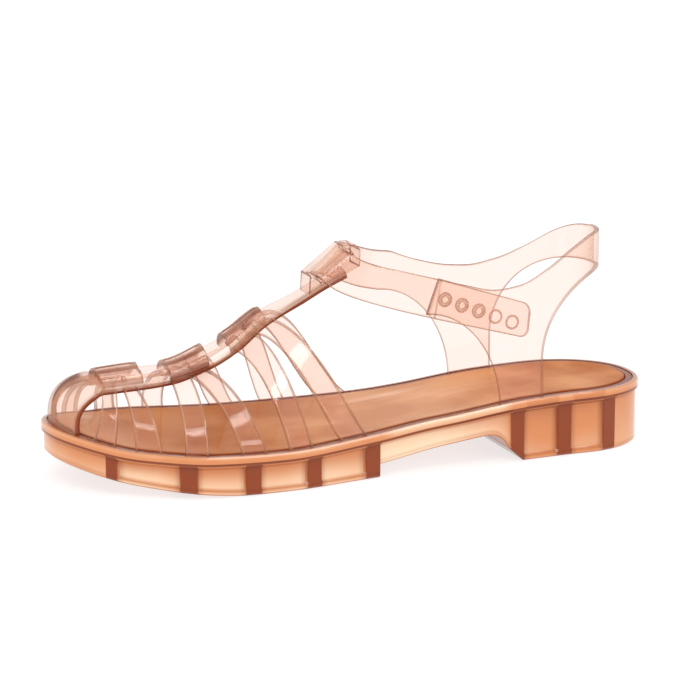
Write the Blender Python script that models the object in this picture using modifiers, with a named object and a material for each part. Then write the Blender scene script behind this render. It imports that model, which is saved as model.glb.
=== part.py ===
"""Jelly sandal for the left foot, moulded in clear peach plastic.

Four solids: the ribbed outsole, the insole in its tray, the moulded upper (toe cap, twelve straps,
centre bar, three ribbed blocks and the keeper on one rim) and the ankle strap (two legs, the heel
band and the strap that runs through the keeper and buttons on the outer side).

Toe towards -X, heel towards +X, outer side of the foot towards -Y, up +Z, in metres. The origin is
on the floor under the middle of the outline.
"""
import math
from collections import namedtuple

import bmesh
import bpy
import numpy as np
from mathutils import Matrix, Vector

# Driving sizes of the sole
LENGTH = 0.255
BALL_WIDTH = 0.094
FOOTBED_TOE = 0.0235
FOOTBED_BALL = 0.0160
FOOTBED_HEEL = 0.0265
TOE_SPRING = 0.0110
ARCH_RISE = 0.0115
PLATE = 0.0040
PLATE_EDGE = 0.0006
LIP = 0.0010
SHANK_INSET = 0.0012
BOTTOM_EDGE = 0.0008

# Ribs and windows of the side wall
RIB_WIDTH = 0.0058
WINDOW_DEPTH = 0.0016
WINDOW_FLANK = 0.0010
LINTEL = 0.0006
SILL = 0.0018

# Tray, rim channel and insole
TRAY_DEPTH = 0.0020
WELT = 0.0022
GAP = 0.0003
RIM_WIDTH = 0.0028
RIM_DROP = 0.0002
FOOT_SINK = 0.6
INSOLE_RISE = 0.0003
INSOLE_DISH = 0.0008
FOOT_SET = 0.0003
UPPER_INSET = WELT + GAP + FOOT_SET

# Upper
INSTEP_HEIGHT = 0.0720
STRAP_WALL = 0.0022
CAP_WALL = 0.0020
BAR_WALL = 0.0034
BAR_RISE = 0.0006
BULGE = 0.0012
BLOCK_RISE = 0.0022
BLOCK_SINK = 0.0015
BLOCK_RIDGES = 3
BLOCK_GROOVE = 0.0009
BAR_END = -0.0035
BAR_SHARES = (0.0, 0.25, 0.6, 1.0)

# Keeper at the top of the centre bar
KEEPER_WIDTH = 0.0116
KEEPER_PLATE = 0.0022
KEEPER_POST = 0.0018
KEEPER_FRONT = -0.0190
KEEPER_HEIGHT = 0.0064
KEEPER_SLOPE = math.radians(38.0)
SLOT_CLEARANCE = 0.0007
KEEPER_SINK = 0.4
KEEPER_FLARE = 0.2

# Corners of the keeper's back: along it as a share of its length, and down in plate thicknesses
KEEPER_BACK = ((0.88, 0.0), (1.08, 1.4), (1.09, 2.8), (0.98, 4.0))

# Ankle strap
BAND_WALL = 0.0020
BAND_WIDTH = 0.0160
COLLAR_HEIGHT = 0.0900
COLLAR_BACK = 0.1095
QUARTER_OUT = 0.0272
LEG_SPREAD = 0.0194
LEG_FRONT = 0.0546
HOLES = 5
PEGS = 3
HOLE_PITCH = 0.0076
HOLE_RADIUS = 0.0026
PEG_RADIUS = 0.0019
PEG_HEAD = 0.0007
TAB_CORNER = 0.0035
TAB_ROUND = (0.6, 0.25, 0.06, 0.0)

# Mesh steps, the last two as shares of the length
ROWS = 8
PERIMETER_STEP = 0.0075
TINY = 0.0004
END_COLUMNS = 7
INSOLE_COLUMNS = 24
CAP_COLUMNS = 20
RIM_COLUMNS = 56
REAR_COLUMNS = 36
EDGE_COLUMNS = 8
BACK_COLUMNS = 10
TAB_STEPS = 6
PIN_SIDES = 14
BAR_STEP = 0.0155
BLOCK_STEP = 0.022

# Shares of the ball width: where the insole's dish starts and where it is at its full depth
INSOLE_SLOPE = 0.04
INSOLE_BED = 0.12

# Shares of the length: where the toe and the heel of the outline start to close
TOE_ROUND = 0.20
HEEL_ROUND = 0.13
ROUND_POWER = 2.3

Plan = namedtuple("Plan", "along centre half")
PLAN = (
    Plan(0.00, 0.045, 0.372),
    Plan(0.10, 0.045, 0.436),
    Plan(0.22, 0.001, 0.494),
    Plan(0.34, -0.013, 0.480),
    Plan(0.48, -0.011, 0.410),
    Plan(0.60, -0.017, 0.348),
    Plan(0.72, -0.025, 0.340),
    Plan(0.86, 0.002, 0.338),
    Plan(1.00, -0.003, 0.305),
)

# How far the footbed has climbed from the ball towards the toe and towards the heel
Footbed = namedtuple("Footbed", "along toe heel")
FOOTBED = (
    Footbed(0.00, 1.00, 0.00),
    Footbed(0.12, 0.24, 0.00),
    Footbed(0.33, 0.00, 0.00),
    Footbed(0.48, 0.00, 0.17),
    Footbed(0.62, 0.00, 0.50),
    Footbed(0.76, 0.00, 0.90),
    Footbed(0.90, 0.00, 0.98),
    Footbed(1.00, 0.00, 1.00),
)

Spring = namedtuple("Spring", "along rise")
SPRING = (Spring(0.00, 1.00), Spring(0.10, 0.42), Spring(0.20, 0.13), Spring(0.28, 0.00), Spring(1.00, 0.00))

# Underside of the waist between the two lug blocks, as shares of the arch rise
Arch = namedtuple("Arch", "along rise")
ARCH = (Arch(0.50, 0.42), Arch(0.55, 0.55), Arch(0.61, 0.76), Arch(0.69, 1.00))
BLOCK_END = 0.4997
HEEL_START = 0.739
HEEL_FRONT_POWER = 3.0

# Middles of the ribs along the length, in the front block and in the heel block
FRONT_RIBS = (0.070, 0.177, 0.279, 0.382, 0.487)
HEEL_RIBS = (0.742, 0.828, 0.912)

# Crown line of the upper: its height and the height of the centre bar's edges as shares of the
# instep height, the half width of the bar as a share of the ball width, and the power of the
# section's curve (2 is an ellipse)
Crown = namedtuple("Crown", "along height edge bar power")
CROWN = (
    Crown(0.078, 0.596, 0.531, 0.114, 2.10),
    Crown(0.140, 0.612, 0.539, 0.112, 1.85),
    Crown(0.190, 0.614, 0.553, 0.104, 1.75),
    Crown(0.255, 0.696, 0.611, 0.090, 1.60),
    Crown(0.300, 0.768, 0.696, 0.084, 1.45),
    Crown(0.345, 0.872, 0.825, 0.074, 1.35),
    Crown(0.410, 0.965, 0.950, 0.056, 1.30),
    Crown(0.450, 1.038, 1.022, 0.052, 1.30),
    Crown(0.520, 1.150, 1.134, 0.052, 1.30),
)
DOME_AT = 0.078
CROWN_SIDE = -0.008

# Straps of the cage: where each edge stands on the rim and where it meets the centre bar, how its
# edges turn from foot to head, and how much further back the strap stands on the inner side
Strap = namedtuple("Strap", "foot_front foot_back bar_front bar_back bend inner")
STRAPS = (
    Strap(0.052, 0.080, 0.080, 0.104, 1.2, 0.000),
    Strap(0.107, 0.143, 0.114, 0.137, 1.2, 0.012),
    Strap(0.175, 0.210, 0.193, 0.224, 1.2, 0.028),
    Strap(0.264, 0.305, 0.222, 0.248, 1.2, 0.052),
    Strap(0.342, 0.382, 0.296, 0.325, 1.3, 0.058),
    Strap(0.434, 0.481, 0.323, 0.352, 1.1, 0.062),
)

# Toe cap: where its hem stands on the rim and on the bar, how the hem turns, and how its mesh runs
HEM_FOOT = 0.024
HEM_TOP = 0.073
HEM_BEND = 2.2
HEM_RISE = 0.62
HEM_TUCK = 0.006
HEM_TURN = 0.12
CAP_EVEN = 0.65
CAP_CROWD = 1.7

# How much further up than the bar's edge a strap's head runs, inside the bar
HEAD_RISE = 0.06

# Ribbed blocks on the centre bar: front and back along the length, half width over the bar's
Block = namedtuple("Block", "front back reach")
# Cross-section of one ridge: share of its width and whether it is up
RIDGE = ((0.06, 0.0), (0.16, 1.0), (0.84, 1.0), (0.94, 0.0))
BLOCKS = (Block(0.080, 0.146, 0.90), Block(0.190, 0.254, 0.95), Block(0.290, 0.350, 0.98))

# Top line of the collar from the front of the flap to the heel: along as a share of the length, and
# height on the outer and the inner side as a share of the collar height
Collar = namedtuple("Collar", "along outer inner")
COLLAR = (
    Collar(0.610, 0.862, 0.882),
    Collar(0.655, 0.823, 0.835),
    Collar(0.712, 0.790, 0.798),
    Collar(0.752, 0.804, 0.790),
    Collar(0.800, 0.868, 0.812),
    Collar(0.850, 0.950, 0.872),
    Collar(0.893, 0.994, 0.952),
    Collar(0.915, 1.000, 0.985),
    Collar(0.932, 1.000, 1.000),
)
FLAP_TOP = 0.0285
FLAP_FOOT = 0.0230
FLAP_LOW = 0.0630
LEG_TOP = 0.0585
LEG_TURN = 0.0020
REAR_TOP = 0.0715
BACK_CROWD = 1.5
REAR_LOW = 0.0742
REAR_STRAIGHT = 0.0400
QUARTER_BACK = 0.0700
QUARTER_POWER = 2.1
LEAN_POWER = 1.5

# Strap from the inner quarter over the instep to the front of the tab: middle line as shares of the
# length, of the quarter's reach and of the collar height, and how far it leans back in degrees
Path = namedtuple("Path", "along out height lean")
PATH_INNER = (
    Path(0.562, 0.86, 0.816, 24.0),
    Path(0.520, 0.62, 0.862, 32.0),
    Path(0.482, 0.36, 0.897, 44.0),
)
PATH_OUTER = (
    Path(0.484, -0.38, 0.866, 42.0),
    Path(0.512, -0.62, 0.836, 36.0),
    Path(0.556, -0.88, 0.805, 22.0),
)
TAB_START = Path(0.606, -1.0, 0.772, 12.0)
TAB_END = Path(0.762, -1.0, 0.642, 7.0)
HOLE_START = 0.0030
HOLE_LIFT = 0.0007
HOLE_DROP = 0.0027
TAB_TAPER = 0.88

MODEL = "jelly_sandal"


def reset_scene():
    """Remove what the scene holds and make the two collections."""
    for item in list(bpy.data.objects):
        bpy.data.objects.remove(item, do_unlink=True)
    made = []
    for name in (MODEL, "cutters"):
        collection = bpy.data.collections.new(name)
        bpy.context.scene.collection.children.link(collection)
        made.append(collection)
    return made


def make_material(name, colour, roughness):
    """Make one plastic with its own colour and gloss."""
    material = bpy.data.materials.new(name)
    material.use_nodes = True
    shader = material.node_tree.nodes["Principled BSDF"]
    shader.inputs["Base Color"].default_value = (*colour, 1.0)
    shader.inputs["Roughness"].default_value = roughness
    shader.inputs["Metallic"].default_value = 0.0
    return material


def make_object(name, points, faces, collection, material=None):
    """Make a mesh object with merged points and outward faces."""
    mesh = bpy.data.meshes.new(name)
    mesh.from_pydata([tuple(p) for p in points], [], faces)
    work = bmesh.new()
    work.from_mesh(mesh)
    bmesh.ops.remove_doubles(work, verts=work.verts, dist=1e-6)
    bmesh.ops.dissolve_degenerate(work, edges=work.edges, dist=1e-7)
    bmesh.ops.recalc_face_normals(work, faces=work.faces)
    work.to_mesh(mesh)
    work.free()
    item = bpy.data.objects.new(name, mesh)
    collection.objects.link(item)
    if material:
        mesh.materials.append(material)
    return item


def hide_cutter(item):
    """Mark a solid that only shapes others."""
    item.hide_render = True
    item.display_type = "WIRE"


def freeze(item):
    """Turn an object's evaluated shape into its plain mesh."""
    bpy.context.view_layer.update()
    graph = bpy.context.evaluated_depsgraph_get()
    mesh = bpy.data.meshes.new_from_object(item.evaluated_get(graph))
    item.modifiers.clear()
    item.data = mesh


def combine(item, others, operation):
    """Join other solids to an object or cut them from it, one after the other."""
    for other in others:
        step = item.modifiers.new(other.name, "BOOLEAN")
        step.operation = operation
        step.solver = "EXACT"
        step.object = other
        hide_cutter(other)
    freeze(item)


def read(table, column, at):
    """Read one column of a table at a share, along a smooth curve without overshoot."""
    xs = [row.along for row in table]
    ys = [getattr(row, column) for row in table]
    at = min(max(at, xs[0]), xs[-1])
    slopes = [(ys[i + 1] - ys[i]) / (xs[i + 1] - xs[i]) for i in range(len(xs) - 1)]
    tangents = [slopes[0]]
    for before, after in zip(slopes, slopes[1:]):
        flat = before * after <= 0.0
        tangents.append(0.0 if flat else 2.0 * before * after / (before + after))
    tangents.append(slopes[-1])
    k = next(i for i in range(len(slopes)) if at <= xs[i + 1])
    span = xs[k + 1] - xs[k]
    u = (at - xs[k]) / span
    rise = ys[k + 1] - ys[k]
    bend = tangents[k] * span * u * (1 - u) ** 2 - tangents[k + 1] * span * u ** 2 * (1 - u)
    return ys[k] + rise * u * u * (3 - 2 * u) + bend


def along(x):
    """Share of the length at a place."""
    return x / LENGTH + 0.5


def place(share):
    """Place of a share of the length."""
    return (share - 0.5) * LENGTH


def end_round(t):
    """Close the outline at the toe and at the heel."""
    close = 0.0
    if t < TOE_ROUND:
        close = (TOE_ROUND - t) / TOE_ROUND
    if t > 1 - HEEL_ROUND:
        close = (t - 1 + HEEL_ROUND) / HEEL_ROUND
    return max(0.0, 1 - close ** ROUND_POWER) ** (1 / ROUND_POWER)


def outline(turn):
    """Point of the sole's outline: 0 is the toe, +pi the heel over the outer side, -pi over the inner."""
    turn = (turn + math.pi) % (2 * math.pi) - math.pi
    t = (1 - math.cos(turn)) / 2
    side = -1 if turn >= 0 else 1
    half = read(PLAN, "half", t) * end_round(t)
    return np.array((place(t), BALL_WIDTH * (read(PLAN, "centre", t) + side * half)))


def inset_outline(turn, inset):
    """Point of the outline moved inward, square to the edge."""
    step = 1e-4
    run = outline(turn + step) - outline(turn - step)
    run /= np.linalg.norm(run)
    return outline(turn) + inset * np.array((-run[1], run[0]))


def turn_at(t):
    """Turn of the outline at a share of the length."""
    return math.acos(1 - 2 * min(max(t, 0.0), 1.0))


def footbed_height(t):
    """Height of the top of the sole."""
    toe = (FOOTBED_TOE - FOOTBED_BALL) * read(FOOTBED, "toe", t)
    heel = (FOOTBED_HEEL - FOOTBED_BALL) * read(FOOTBED, "heel", t)
    return FOOTBED_BALL + toe + heel


def sole_bottom(t):
    """Height of the underside: toe spring, front block, arch, heel front and heel block."""
    if t <= BLOCK_END:
        return TOE_SPRING * read(SPRING, "rise", t)
    if t >= HEEL_START:
        return 0.0
    fall = 1.0
    if t > ARCH[-1].along:
        fall -= ((t - ARCH[-1].along) / (HEEL_START - ARCH[-1].along)) ** HEEL_FRONT_POWER
    return ARCH_RISE * read(ARCH, "rise", t) * fall


def spread(start, stop, longest):
    """Shares from start to stop, evenly, no further apart than the longest step."""
    count = max(1, math.ceil((stop - start) / longest - 1e-9))
    return [start + (stop - start) * i / count for i in range(count + 1)]


def sole_stations():
    """Shares along the sole with the wall's state there: window depth and waist share."""
    longest = PERIMETER_STEP / LENGTH
    flank = WINDOW_FLANK / LENGTH
    half = RIB_WIDTH / LENGTH / 2
    bars = [(rib - half, rib + half) for rib in FRONT_RIBS]
    bars[0] = (bars[0][0] + half * 0.4, bars[0][1] - half * 0.4)
    bars[-1] = (bars[-1][0], BLOCK_END)
    heel_bars = [(rib - half, rib + half) for rib in HEEL_RIBS]
    rows = [(t, 0.0, 0.0) for t in toe_turns(bars[0][0])]
    for block in (bars, heel_bars):
        for k, (front, back) in enumerate(block):
            rows += [(front, 0.0, 0.0), (back, 0.0, 0.0)]
            if k + 1 < len(block):
                window = spread(back + flank, block[k + 1][0] - flank, longest)
                rows += [(t, 1.0, 0.0) for t in window]
        if block is bars:
            step = TINY / LENGTH
            rows += [(t, 0.0, 1.0) for t in spread(BLOCK_END + step, ARCH[-1].along, longest)]
            fall = spread(ARCH[-1].along, HEEL_START, longest / 3)
            rows += [(t, 0.0, 1.0) for t in fall if t < heel_bars[0][0] - step]
            rows += [(t, 0.0, 0.0) for t in fall if t > heel_bars[0][0]]
    rows += [(1 - t, 0.0, 0.0) for t in reversed(toe_turns(1 - heel_bars[-1][1]))]
    unique = {}
    for t, window, waist in sorted(rows):
        unique.setdefault(round(t, 5), (t, window, waist))
    kept = []
    for row in unique.values():
        if kept and row[0] - kept[-1][0] < 0.5 * TINY / LENGTH:
            continue
        kept.append(row)
    return kept


def toe_turns(limit):
    """Shares from the very end of the sole to a limit, closer together near the end."""
    return [limit * (i / END_COLUMNS) ** 2 for i in range(END_COLUMNS + 1)]


def wall_levels(t, window, waist):
    """Inset and height of each corner of the wall, from the tray floor outward and down."""
    top = footbed_height(t)
    under = top - PLATE
    bottom = sole_bottom(t)
    face = LIP + SHANK_INSET * waist
    pocket = face + WINDOW_DEPTH * window
    return (
        (WELT, top - TRAY_DEPTH),
        (WELT, top),
        (PLATE_EDGE, top),
        (0.0, top - PLATE_EDGE),
        (0.0, under),
        (face, under),
        (face, under - LINTEL),
        (pocket, under - LINTEL - WINDOW_FLANK),
        (pocket, bottom + SILL + WINDOW_FLANK),
        (face, bottom + SILL),
        (face, bottom + BOTTOM_EDGE),
        (face + BOTTOM_EDGE, bottom),
    )


def ring_solid(columns, lids):
    """Points and faces of a solid from columns round an outline.

    The first column is the toe, then the outer side to the heel, then the inner side back. Each lid
    names the level that it closes.
    """
    count = len(columns)
    levels = len(columns[0])
    points = [point for column in columns for point in column]
    faces = []
    for i in range(count):
        j = (i + 1) % count
        for k in range(levels - 1):
            faces.append((i * levels + k, j * levels + k, j * levels + k + 1, i * levels + k + 1))
    for level in lids:
        outer = range(0, count // 2 + 1)
        for i in outer[:-1]:
            ring = (i, i + 1, (count - i - 1) % count, (count - i) % count)
            corners = list(dict.fromkeys(ring))
            faces.append(tuple(c * levels + level for c in corners))
    return points, faces


def round_columns(stations, levels_at):
    """Columns round the outline for stations that run from the toe to the heel."""
    turns = [turn_at(row[0]) for row in stations]
    columns = []
    for side in (1, -1):
        order = range(len(stations)) if side == 1 else range(len(stations) - 2, 0, -1)
        for i in order:
            column = []
            for inset, height in levels_at(*stations[i]):
                x, y = inset_outline(side * turns[i], inset)
                column.append((x, y, height))
            columns.append(column)
    return columns


def make_outsole(collection, material):
    """Make the sole: plate with its lip, ribbed front block, waist and heel block."""
    columns = round_columns(sole_stations(), wall_levels)
    last = len(columns[0]) - 1
    points, faces = ring_solid(columns, (0, last))
    return make_object("outsole", points, faces, collection, material)


def make_insole(collection, material):
    """Make the thin inlay inside the rim, a little dished across."""
    edge = WELT + 2 * GAP + RIM_WIDTH
    stations = [(t,) for t in end_spread(INSOLE_COLUMNS)]

    def levels(t):
        top = footbed_height(t)
        floor = top - TRAY_DEPTH + GAP
        return (
            (edge + BALL_WIDTH * INSOLE_BED, top + INSOLE_RISE - INSOLE_DISH),
            (edge + BALL_WIDTH * INSOLE_SLOPE, top + INSOLE_RISE - INSOLE_DISH / 2),
            (edge + PLATE_EDGE, top + INSOLE_RISE),
            (edge, top + INSOLE_RISE - PLATE_EDGE),
            (edge, floor),
        )

    columns = round_columns(stations, levels)
    points, faces = ring_solid(columns, (0, 4))
    return make_object("insole", points, faces, collection, material)


def end_spread(count):
    """Shares from toe to heel that crowd towards both ends."""
    return [(1 - math.cos(math.pi * i / count)) / 2 for i in range(count + 1)]


def feather(side, x, inset):
    """Point of the inset outline at a place, side 1 outer and -1 inner, with its outward direction."""
    low, high = 0.0, math.pi
    for _ in range(40):
        middle = (low + high) / 2
        if inset_outline(side * middle, inset)[0] < x:
            low = middle
        else:
            high = middle
    turn = side * (low + high) / 2
    point = inset_outline(turn, inset)
    outward = inset_outline(turn, 0.0) - inset_outline(turn, 0.001)
    return point, outward / np.linalg.norm(outward)


def crown_point(t):
    """Point of the crown line, the top of the upper's outer face."""
    x = place(max(t, DOME_AT))
    y = BALL_WIDTH * CROWN_SIDE
    return np.array((x, y)), INSTEP_HEIGHT * read(CROWN, "height", max(t, DOME_AT))


def cage_point(side, t, rise, full=None):
    """Point of the upper's outer face: rise 0 is the rim and 1 its full height, or the crown line's."""
    front = place(0.0) + UPPER_INSET
    x = max(place(t), front + 1e-6)
    foot, outward = feather(side, x, UPPER_INSET)
    crown, height = crown_point(t)
    power = 2.0 / read(CROWN, "power", max(t, DOME_AT))
    angle = rise * math.pi / 2
    reach = math.cos(angle) ** power if rise < 1 else 0.0
    climb = math.sin(angle) ** power
    base = footbed_height(along(foot[0]))
    swell = BULGE * math.sin(2 * angle)
    xy = crown + (foot - crown) * reach + outward * swell
    return np.array((xy[0], xy[1], base + ((full or height) - base) * climb))


def side_height(side, t):
    """Full height of the section whose curve meets the edge of the centre bar."""
    at = max(t, DOME_AT)
    base = footbed_height(at)
    climb = math.sin(bar_rise(side, at) * math.pi / 2) ** (2.0 / read(CROWN, "power", at))
    return base + (INSTEP_HEIGHT * read(CROWN, "edge", at) - base) / climb


def bar_rise(side, t):
    """Rise at which the face meets the edge of the centre bar."""
    foot, _ = feather(side, place(t), UPPER_INSET)
    crown, _ = crown_point(t)
    width = abs(foot[1] - crown[1])
    share = BALL_WIDTH * read(CROWN, "bar", t) / width
    power = 2.0 / read(CROWN, "power", t)
    return math.acos(min(1.0, share) ** (1 / power)) / (math.pi / 2)


def patch(name, rows, collection, wall, rise):
    """Make a sheet from rows of points and give it a wall, part of it above the points."""
    width = len(rows[0])
    points = [p for row in rows for p in row]
    faces = []
    for i in range(len(rows) - 1):
        for j in range(width - 1):
            a = i * width + j
            faces.append((a, a + 1, a + width + 1, a + width))
    item = make_object(name, points, faces, collection)
    turn_outward(item)
    step = item.modifiers.new("wall", "SOLIDIFY")
    step.thickness = wall
    step.offset = 2 * rise / wall - 1
    step.use_even_offset = True
    freeze(item)
    return item


def turn_outward(item):
    """Turn an open sheet's faces away from the middle of the foot."""
    mesh = item.data
    middle = Vector((0.0, 0.0, 0.030))
    votes = 0.0
    for face in mesh.polygons:
        inside = Vector((face.center.x * 0.8, 0.0, middle.z))
        votes += face.area * face.normal.dot((face.center - inside).normalized())
    if votes < 0:
        mesh.flip_normals()


def make_cap(collection):
    """Make the toe cap, from hem to hem over the front."""
    rows = []
    reach = DOME_AT + HEM_TUCK
    for i in range(ROWS + 1):
        crowded = (1 - math.cos(math.pi * i / ROWS)) / 2
        rise = (1 - CAP_EVEN) * crowded + CAP_EVEN * i / ROWS
        hem = HEM_FOOT + (HEM_TOP - HEM_FOOT) * min(1.0, rise / HEM_RISE) ** HEM_BEND
        if rise > HEM_RISE:
            hem = HEM_TOP + (reach - HEM_TOP) * min(1.0, (rise - HEM_RISE) / HEM_TURN)
        row = []
        for j in range(CAP_COLUMNS + 1):
            share = 2 * j / CAP_COLUMNS - 1
            side = 1 if share < 0 else -1
            row.append(cage_point(side, hem * abs(share) ** CAP_CROWD, rise))
        rows.append(sink(row) if i == 0 else row)
    return patch("cap", rows, collection, CAP_WALL, 0.0)


def sink(row):
    """Lower the feet of a sheet into the rim."""
    return [point - np.array((0.0, 0.0, TRAY_DEPTH * FOOT_SINK)) for point in row]


def make_strap(index, strap, side, collection):
    """Make one strap from its foot in the rim to its end inside the centre bar."""
    rows = []
    shift = strap.inner if side < 0 else 0.0
    for i in range(ROWS + 1):
        part = i / ROWS
        bend = part ** strap.bend
        row = []
        for across in (0.0, 0.5, 1.0):
            foot = strap.foot_front + (strap.foot_back - strap.foot_front) * across + shift
            head = strap.bar_front + (strap.bar_back - strap.bar_front) * across
            rise = part * (bar_rise(side, head) + HEAD_RISE)
            t = foot + (head - foot) * bend
            row.append(cage_point(side, t, rise, side_height(side, t)))
        rows.append(sink(row) if i == 0 else row)
    return patch(f"strap_{index}", rows, collection, STRAP_WALL, 0.0)


def make_bar(collection):
    """Make the centre bar along the crown line."""
    rows = []
    for t in spread(DOME_AT, along(BAR_END), BAR_STEP):
        row = [bar_point(-1, t, share) for share in BAR_SHARES[:0:-1]]
        row += [bar_point(1, t, share) for share in BAR_SHARES]
        rows.append(row)
    return patch("bar", rows, collection, BAR_WALL, BAR_RISE)


def bar_point(side, t, share):
    """Point over the centre bar: share 0 is the crown line and 1 the bar's edge."""
    edge = cage_point(side, t, bar_rise(side, t), side_height(side, t))
    crown, height = crown_point(t)
    y = crown[1] + (edge[1] - crown[1]) * share
    return np.array((edge[0], y, edge[2] + (height - edge[2]) * (1 - share ** 2)))


def make_block(index, block, collection):
    """Make a raised block with lengthwise ridges over the centre bar."""
    marks = []
    for k in range(BLOCK_RIDGES):
        for share, lift in RIDGE:
            marks.append((k + share, lift))
    places = [(m / BLOCK_RIDGES * 2 - 1, lift) for m, lift in marks]
    low = BAR_RISE - BLOCK_SINK
    rows = []
    for t in spread(block.front, block.back, BLOCK_STEP):
        upper = []
        lower = []
        for share, lift in places:
            side = -1 if share < 0 else 1
            point = bar_point(side, t, abs(share) * block.reach)
            normal = bar_normal(side, t, abs(share) * block.reach)
            height = BAR_RISE + BLOCK_RISE - BLOCK_GROOVE * (1 - lift)
            upper.append(point + normal * height)
            lower.append(point + normal * low)
        rows.append(upper + lower[::-1])
    width = len(rows[0])
    points = [p for row in rows for p in row]
    faces = [tuple(range(width)), tuple(range((len(rows) - 1) * width, len(rows) * width))]
    for i in range(len(rows) - 1):
        for j in range(width):
            k = (j + 1) % width
            faces.append((i * width + j, i * width + k, (i + 1) * width + k, (i + 1) * width + j))
    return make_object(f"block_{index}", points, faces, collection)


def bar_normal(side, t, share):
    """Outward direction of the face over the centre bar."""
    step = 0.004
    ahead = bar_point(side, t + step, share) - bar_point(side, t - step, share)
    near = max(share, 0.1)
    across = bar_point(side, t, near + 0.05) - bar_point(side, t, near - 0.05)
    normal = np.cross(ahead, across)
    normal /= np.linalg.norm(normal)
    return normal if normal[2] > 0 else -normal


def rim_columns(turns, top_drop, bottom_rise):
    """Cross-sections of the rim along the channel."""
    inner = WELT + GAP + RIM_WIDTH
    rows = []
    for turn in turns:
        t = (1 - math.cos(turn)) / 2
        top = footbed_height(t) - top_drop
        floor = footbed_height(t) - TRAY_DEPTH + bottom_rise
        row = []
        for inset, height in ((WELT + GAP, top), (inner, top), (inner, floor), (WELT + GAP, floor)):
            x, y = inset_outline(turn, inset)
            row.append((x, y, height))
        rows.append(row)
    return rows


def make_rim(name, turns, collection):
    """Make the rim that carries the feet, a bar of four corners along the channel."""
    rows = rim_columns(turns, RIM_DROP, GAP)
    points = [p for row in rows for p in row]
    last = (len(rows) - 1) * 4
    faces = [(0, 1, 2, 3), (last + 3, last + 2, last + 1, last)]
    for i in range(len(rows) - 1):
        for j in range(4):
            k = (j + 1) % 4
            faces.append((i * 4 + j, i * 4 + k, i * 4 + 4 + k, i * 4 + 4 + j))
    return make_object(name, points, faces, collection)


def keeper_frame():
    """Front top corner of the keeper, its direction along the slope and its upward normal."""
    run = np.array((math.cos(KEEPER_SLOPE), 0.0, math.sin(KEEPER_SLOPE)))
    up = np.array((-run[2], 0.0, run[0]))
    foot, height = crown_point(along(KEEPER_FRONT))
    return np.array((foot[0], foot[1], height + KEEPER_HEIGHT)), run, up


def slot_middle():
    """Middle of the keeper's slot, where the strap runs through."""
    corner, run, up = keeper_frame()
    down = KEEPER_PLATE + SLOT_CLEARANCE + BAND_WALL / 2
    return corner + run * (KEEPER_POST + SLOT_CLEARANCE + BAND_WIDTH / 2) - up * down


def slab_outline(name, profile, width, middle, collection):
    """Make a solid from a side profile of (x, z) corners, centred on a place across."""
    curve = bpy.data.curves.new(name, "CURVE")
    curve.dimensions = "2D"
    curve.fill_mode = "BOTH"
    curve.extrude = width / 2
    spline = curve.splines.new("POLY")
    spline.points.add(len(profile) - 1)
    for point, (x, z) in zip(spline.points, profile):
        point.co = (x, z, 0.0, 1.0)
    spline.use_cyclic_u = True
    guide = bpy.data.objects.new(name + "_curve", curve)
    collection.objects.link(guide)
    guide.matrix_world = Matrix.Translation((0.0, middle, 0.0)) @ Matrix.Rotation(math.pi / 2, 4, "X")
    bpy.context.view_layer.update()
    graph = bpy.context.evaluated_depsgraph_get()
    mesh = bpy.data.meshes.new_from_object(guide.evaluated_get(graph))
    mesh.transform(guide.matrix_world)
    bpy.data.objects.remove(guide)
    points = [v.co.copy() for v in mesh.vertices]
    faces = [tuple(f.vertices) for f in mesh.polygons]
    bpy.data.meshes.remove(mesh)
    return make_object(name, points, faces, collection)


def make_keeper(collection):
    """Make the loop that holds the strap, with its slot cut through."""
    corner, run, up = keeper_frame()
    length = 2 * KEEPER_POST + 2 * SLOT_CLEARANCE + BAND_WIDTH
    back = [corner + run * length * share - up * KEEPER_PLATE * drop for share, drop in KEEPER_BACK]
    under = crown_point(along(back[-1][0]))[1] - BAR_WALL * KEEPER_SINK
    back[-1][2] = min(back[-1][2], under)
    toe = corner - run * KEEPER_PLATE * KEEPER_FLARE
    toe[2] = crown_point(along(toe[0]))[1] - BAR_WALL * KEEPER_SINK
    profile = [(p[0], p[2]) for p in [corner] + back + [toe]]
    body = slab_outline("keeper", profile, KEEPER_WIDTH, corner[1], collection)
    middle = slot_middle()
    half_run = BAND_WIDTH / 2 + SLOT_CLEARANCE
    half_up = BAND_WALL / 2 + SLOT_CLEARANCE
    ring = [(-half_run, -half_up), (half_run, -half_up), (half_run, half_up), (-half_run, half_up)]
    corners = [middle + run * a + up * b for a, b in ring]
    slot = slab_outline("slot", [(c[0], c[2]) for c in corners], KEEPER_WIDTH * 2, corner[1], collection)
    combine(body, [slot], "DIFFERENCE")
    return body


def make_upper(collection, cutters, material):
    """Join toe cap, straps, centre bar, blocks, keeper and rim into one moulding."""
    reach = turn_at(along(LEG_FRONT) - GAP / LENGTH)
    turns = [reach * (2 * i / RIM_COLUMNS - 1) for i in range(RIM_COLUMNS + 1)]
    upper = make_rim("upper", turns, collection)
    upper.data.materials.append(material)
    parts = [make_bar(cutters), make_cap(cutters)]
    for index, strap in enumerate(STRAPS):
        for side in (1, -1):
            parts.append(make_strap(index * 2 + (side < 0), strap, side, cutters))
    parts += [make_block(index, block, cutters) for index, block in enumerate(BLOCKS)]
    parts.append(make_keeper(cutters))
    combine(upper, parts, "UNION")
    return upper


def collar_height(side, x):
    """Height of the collar's top line at a place along the foot."""
    return COLLAR_HEIGHT * read(COLLAR, "outer" if side < 0 else "inner", along(x))


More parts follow.
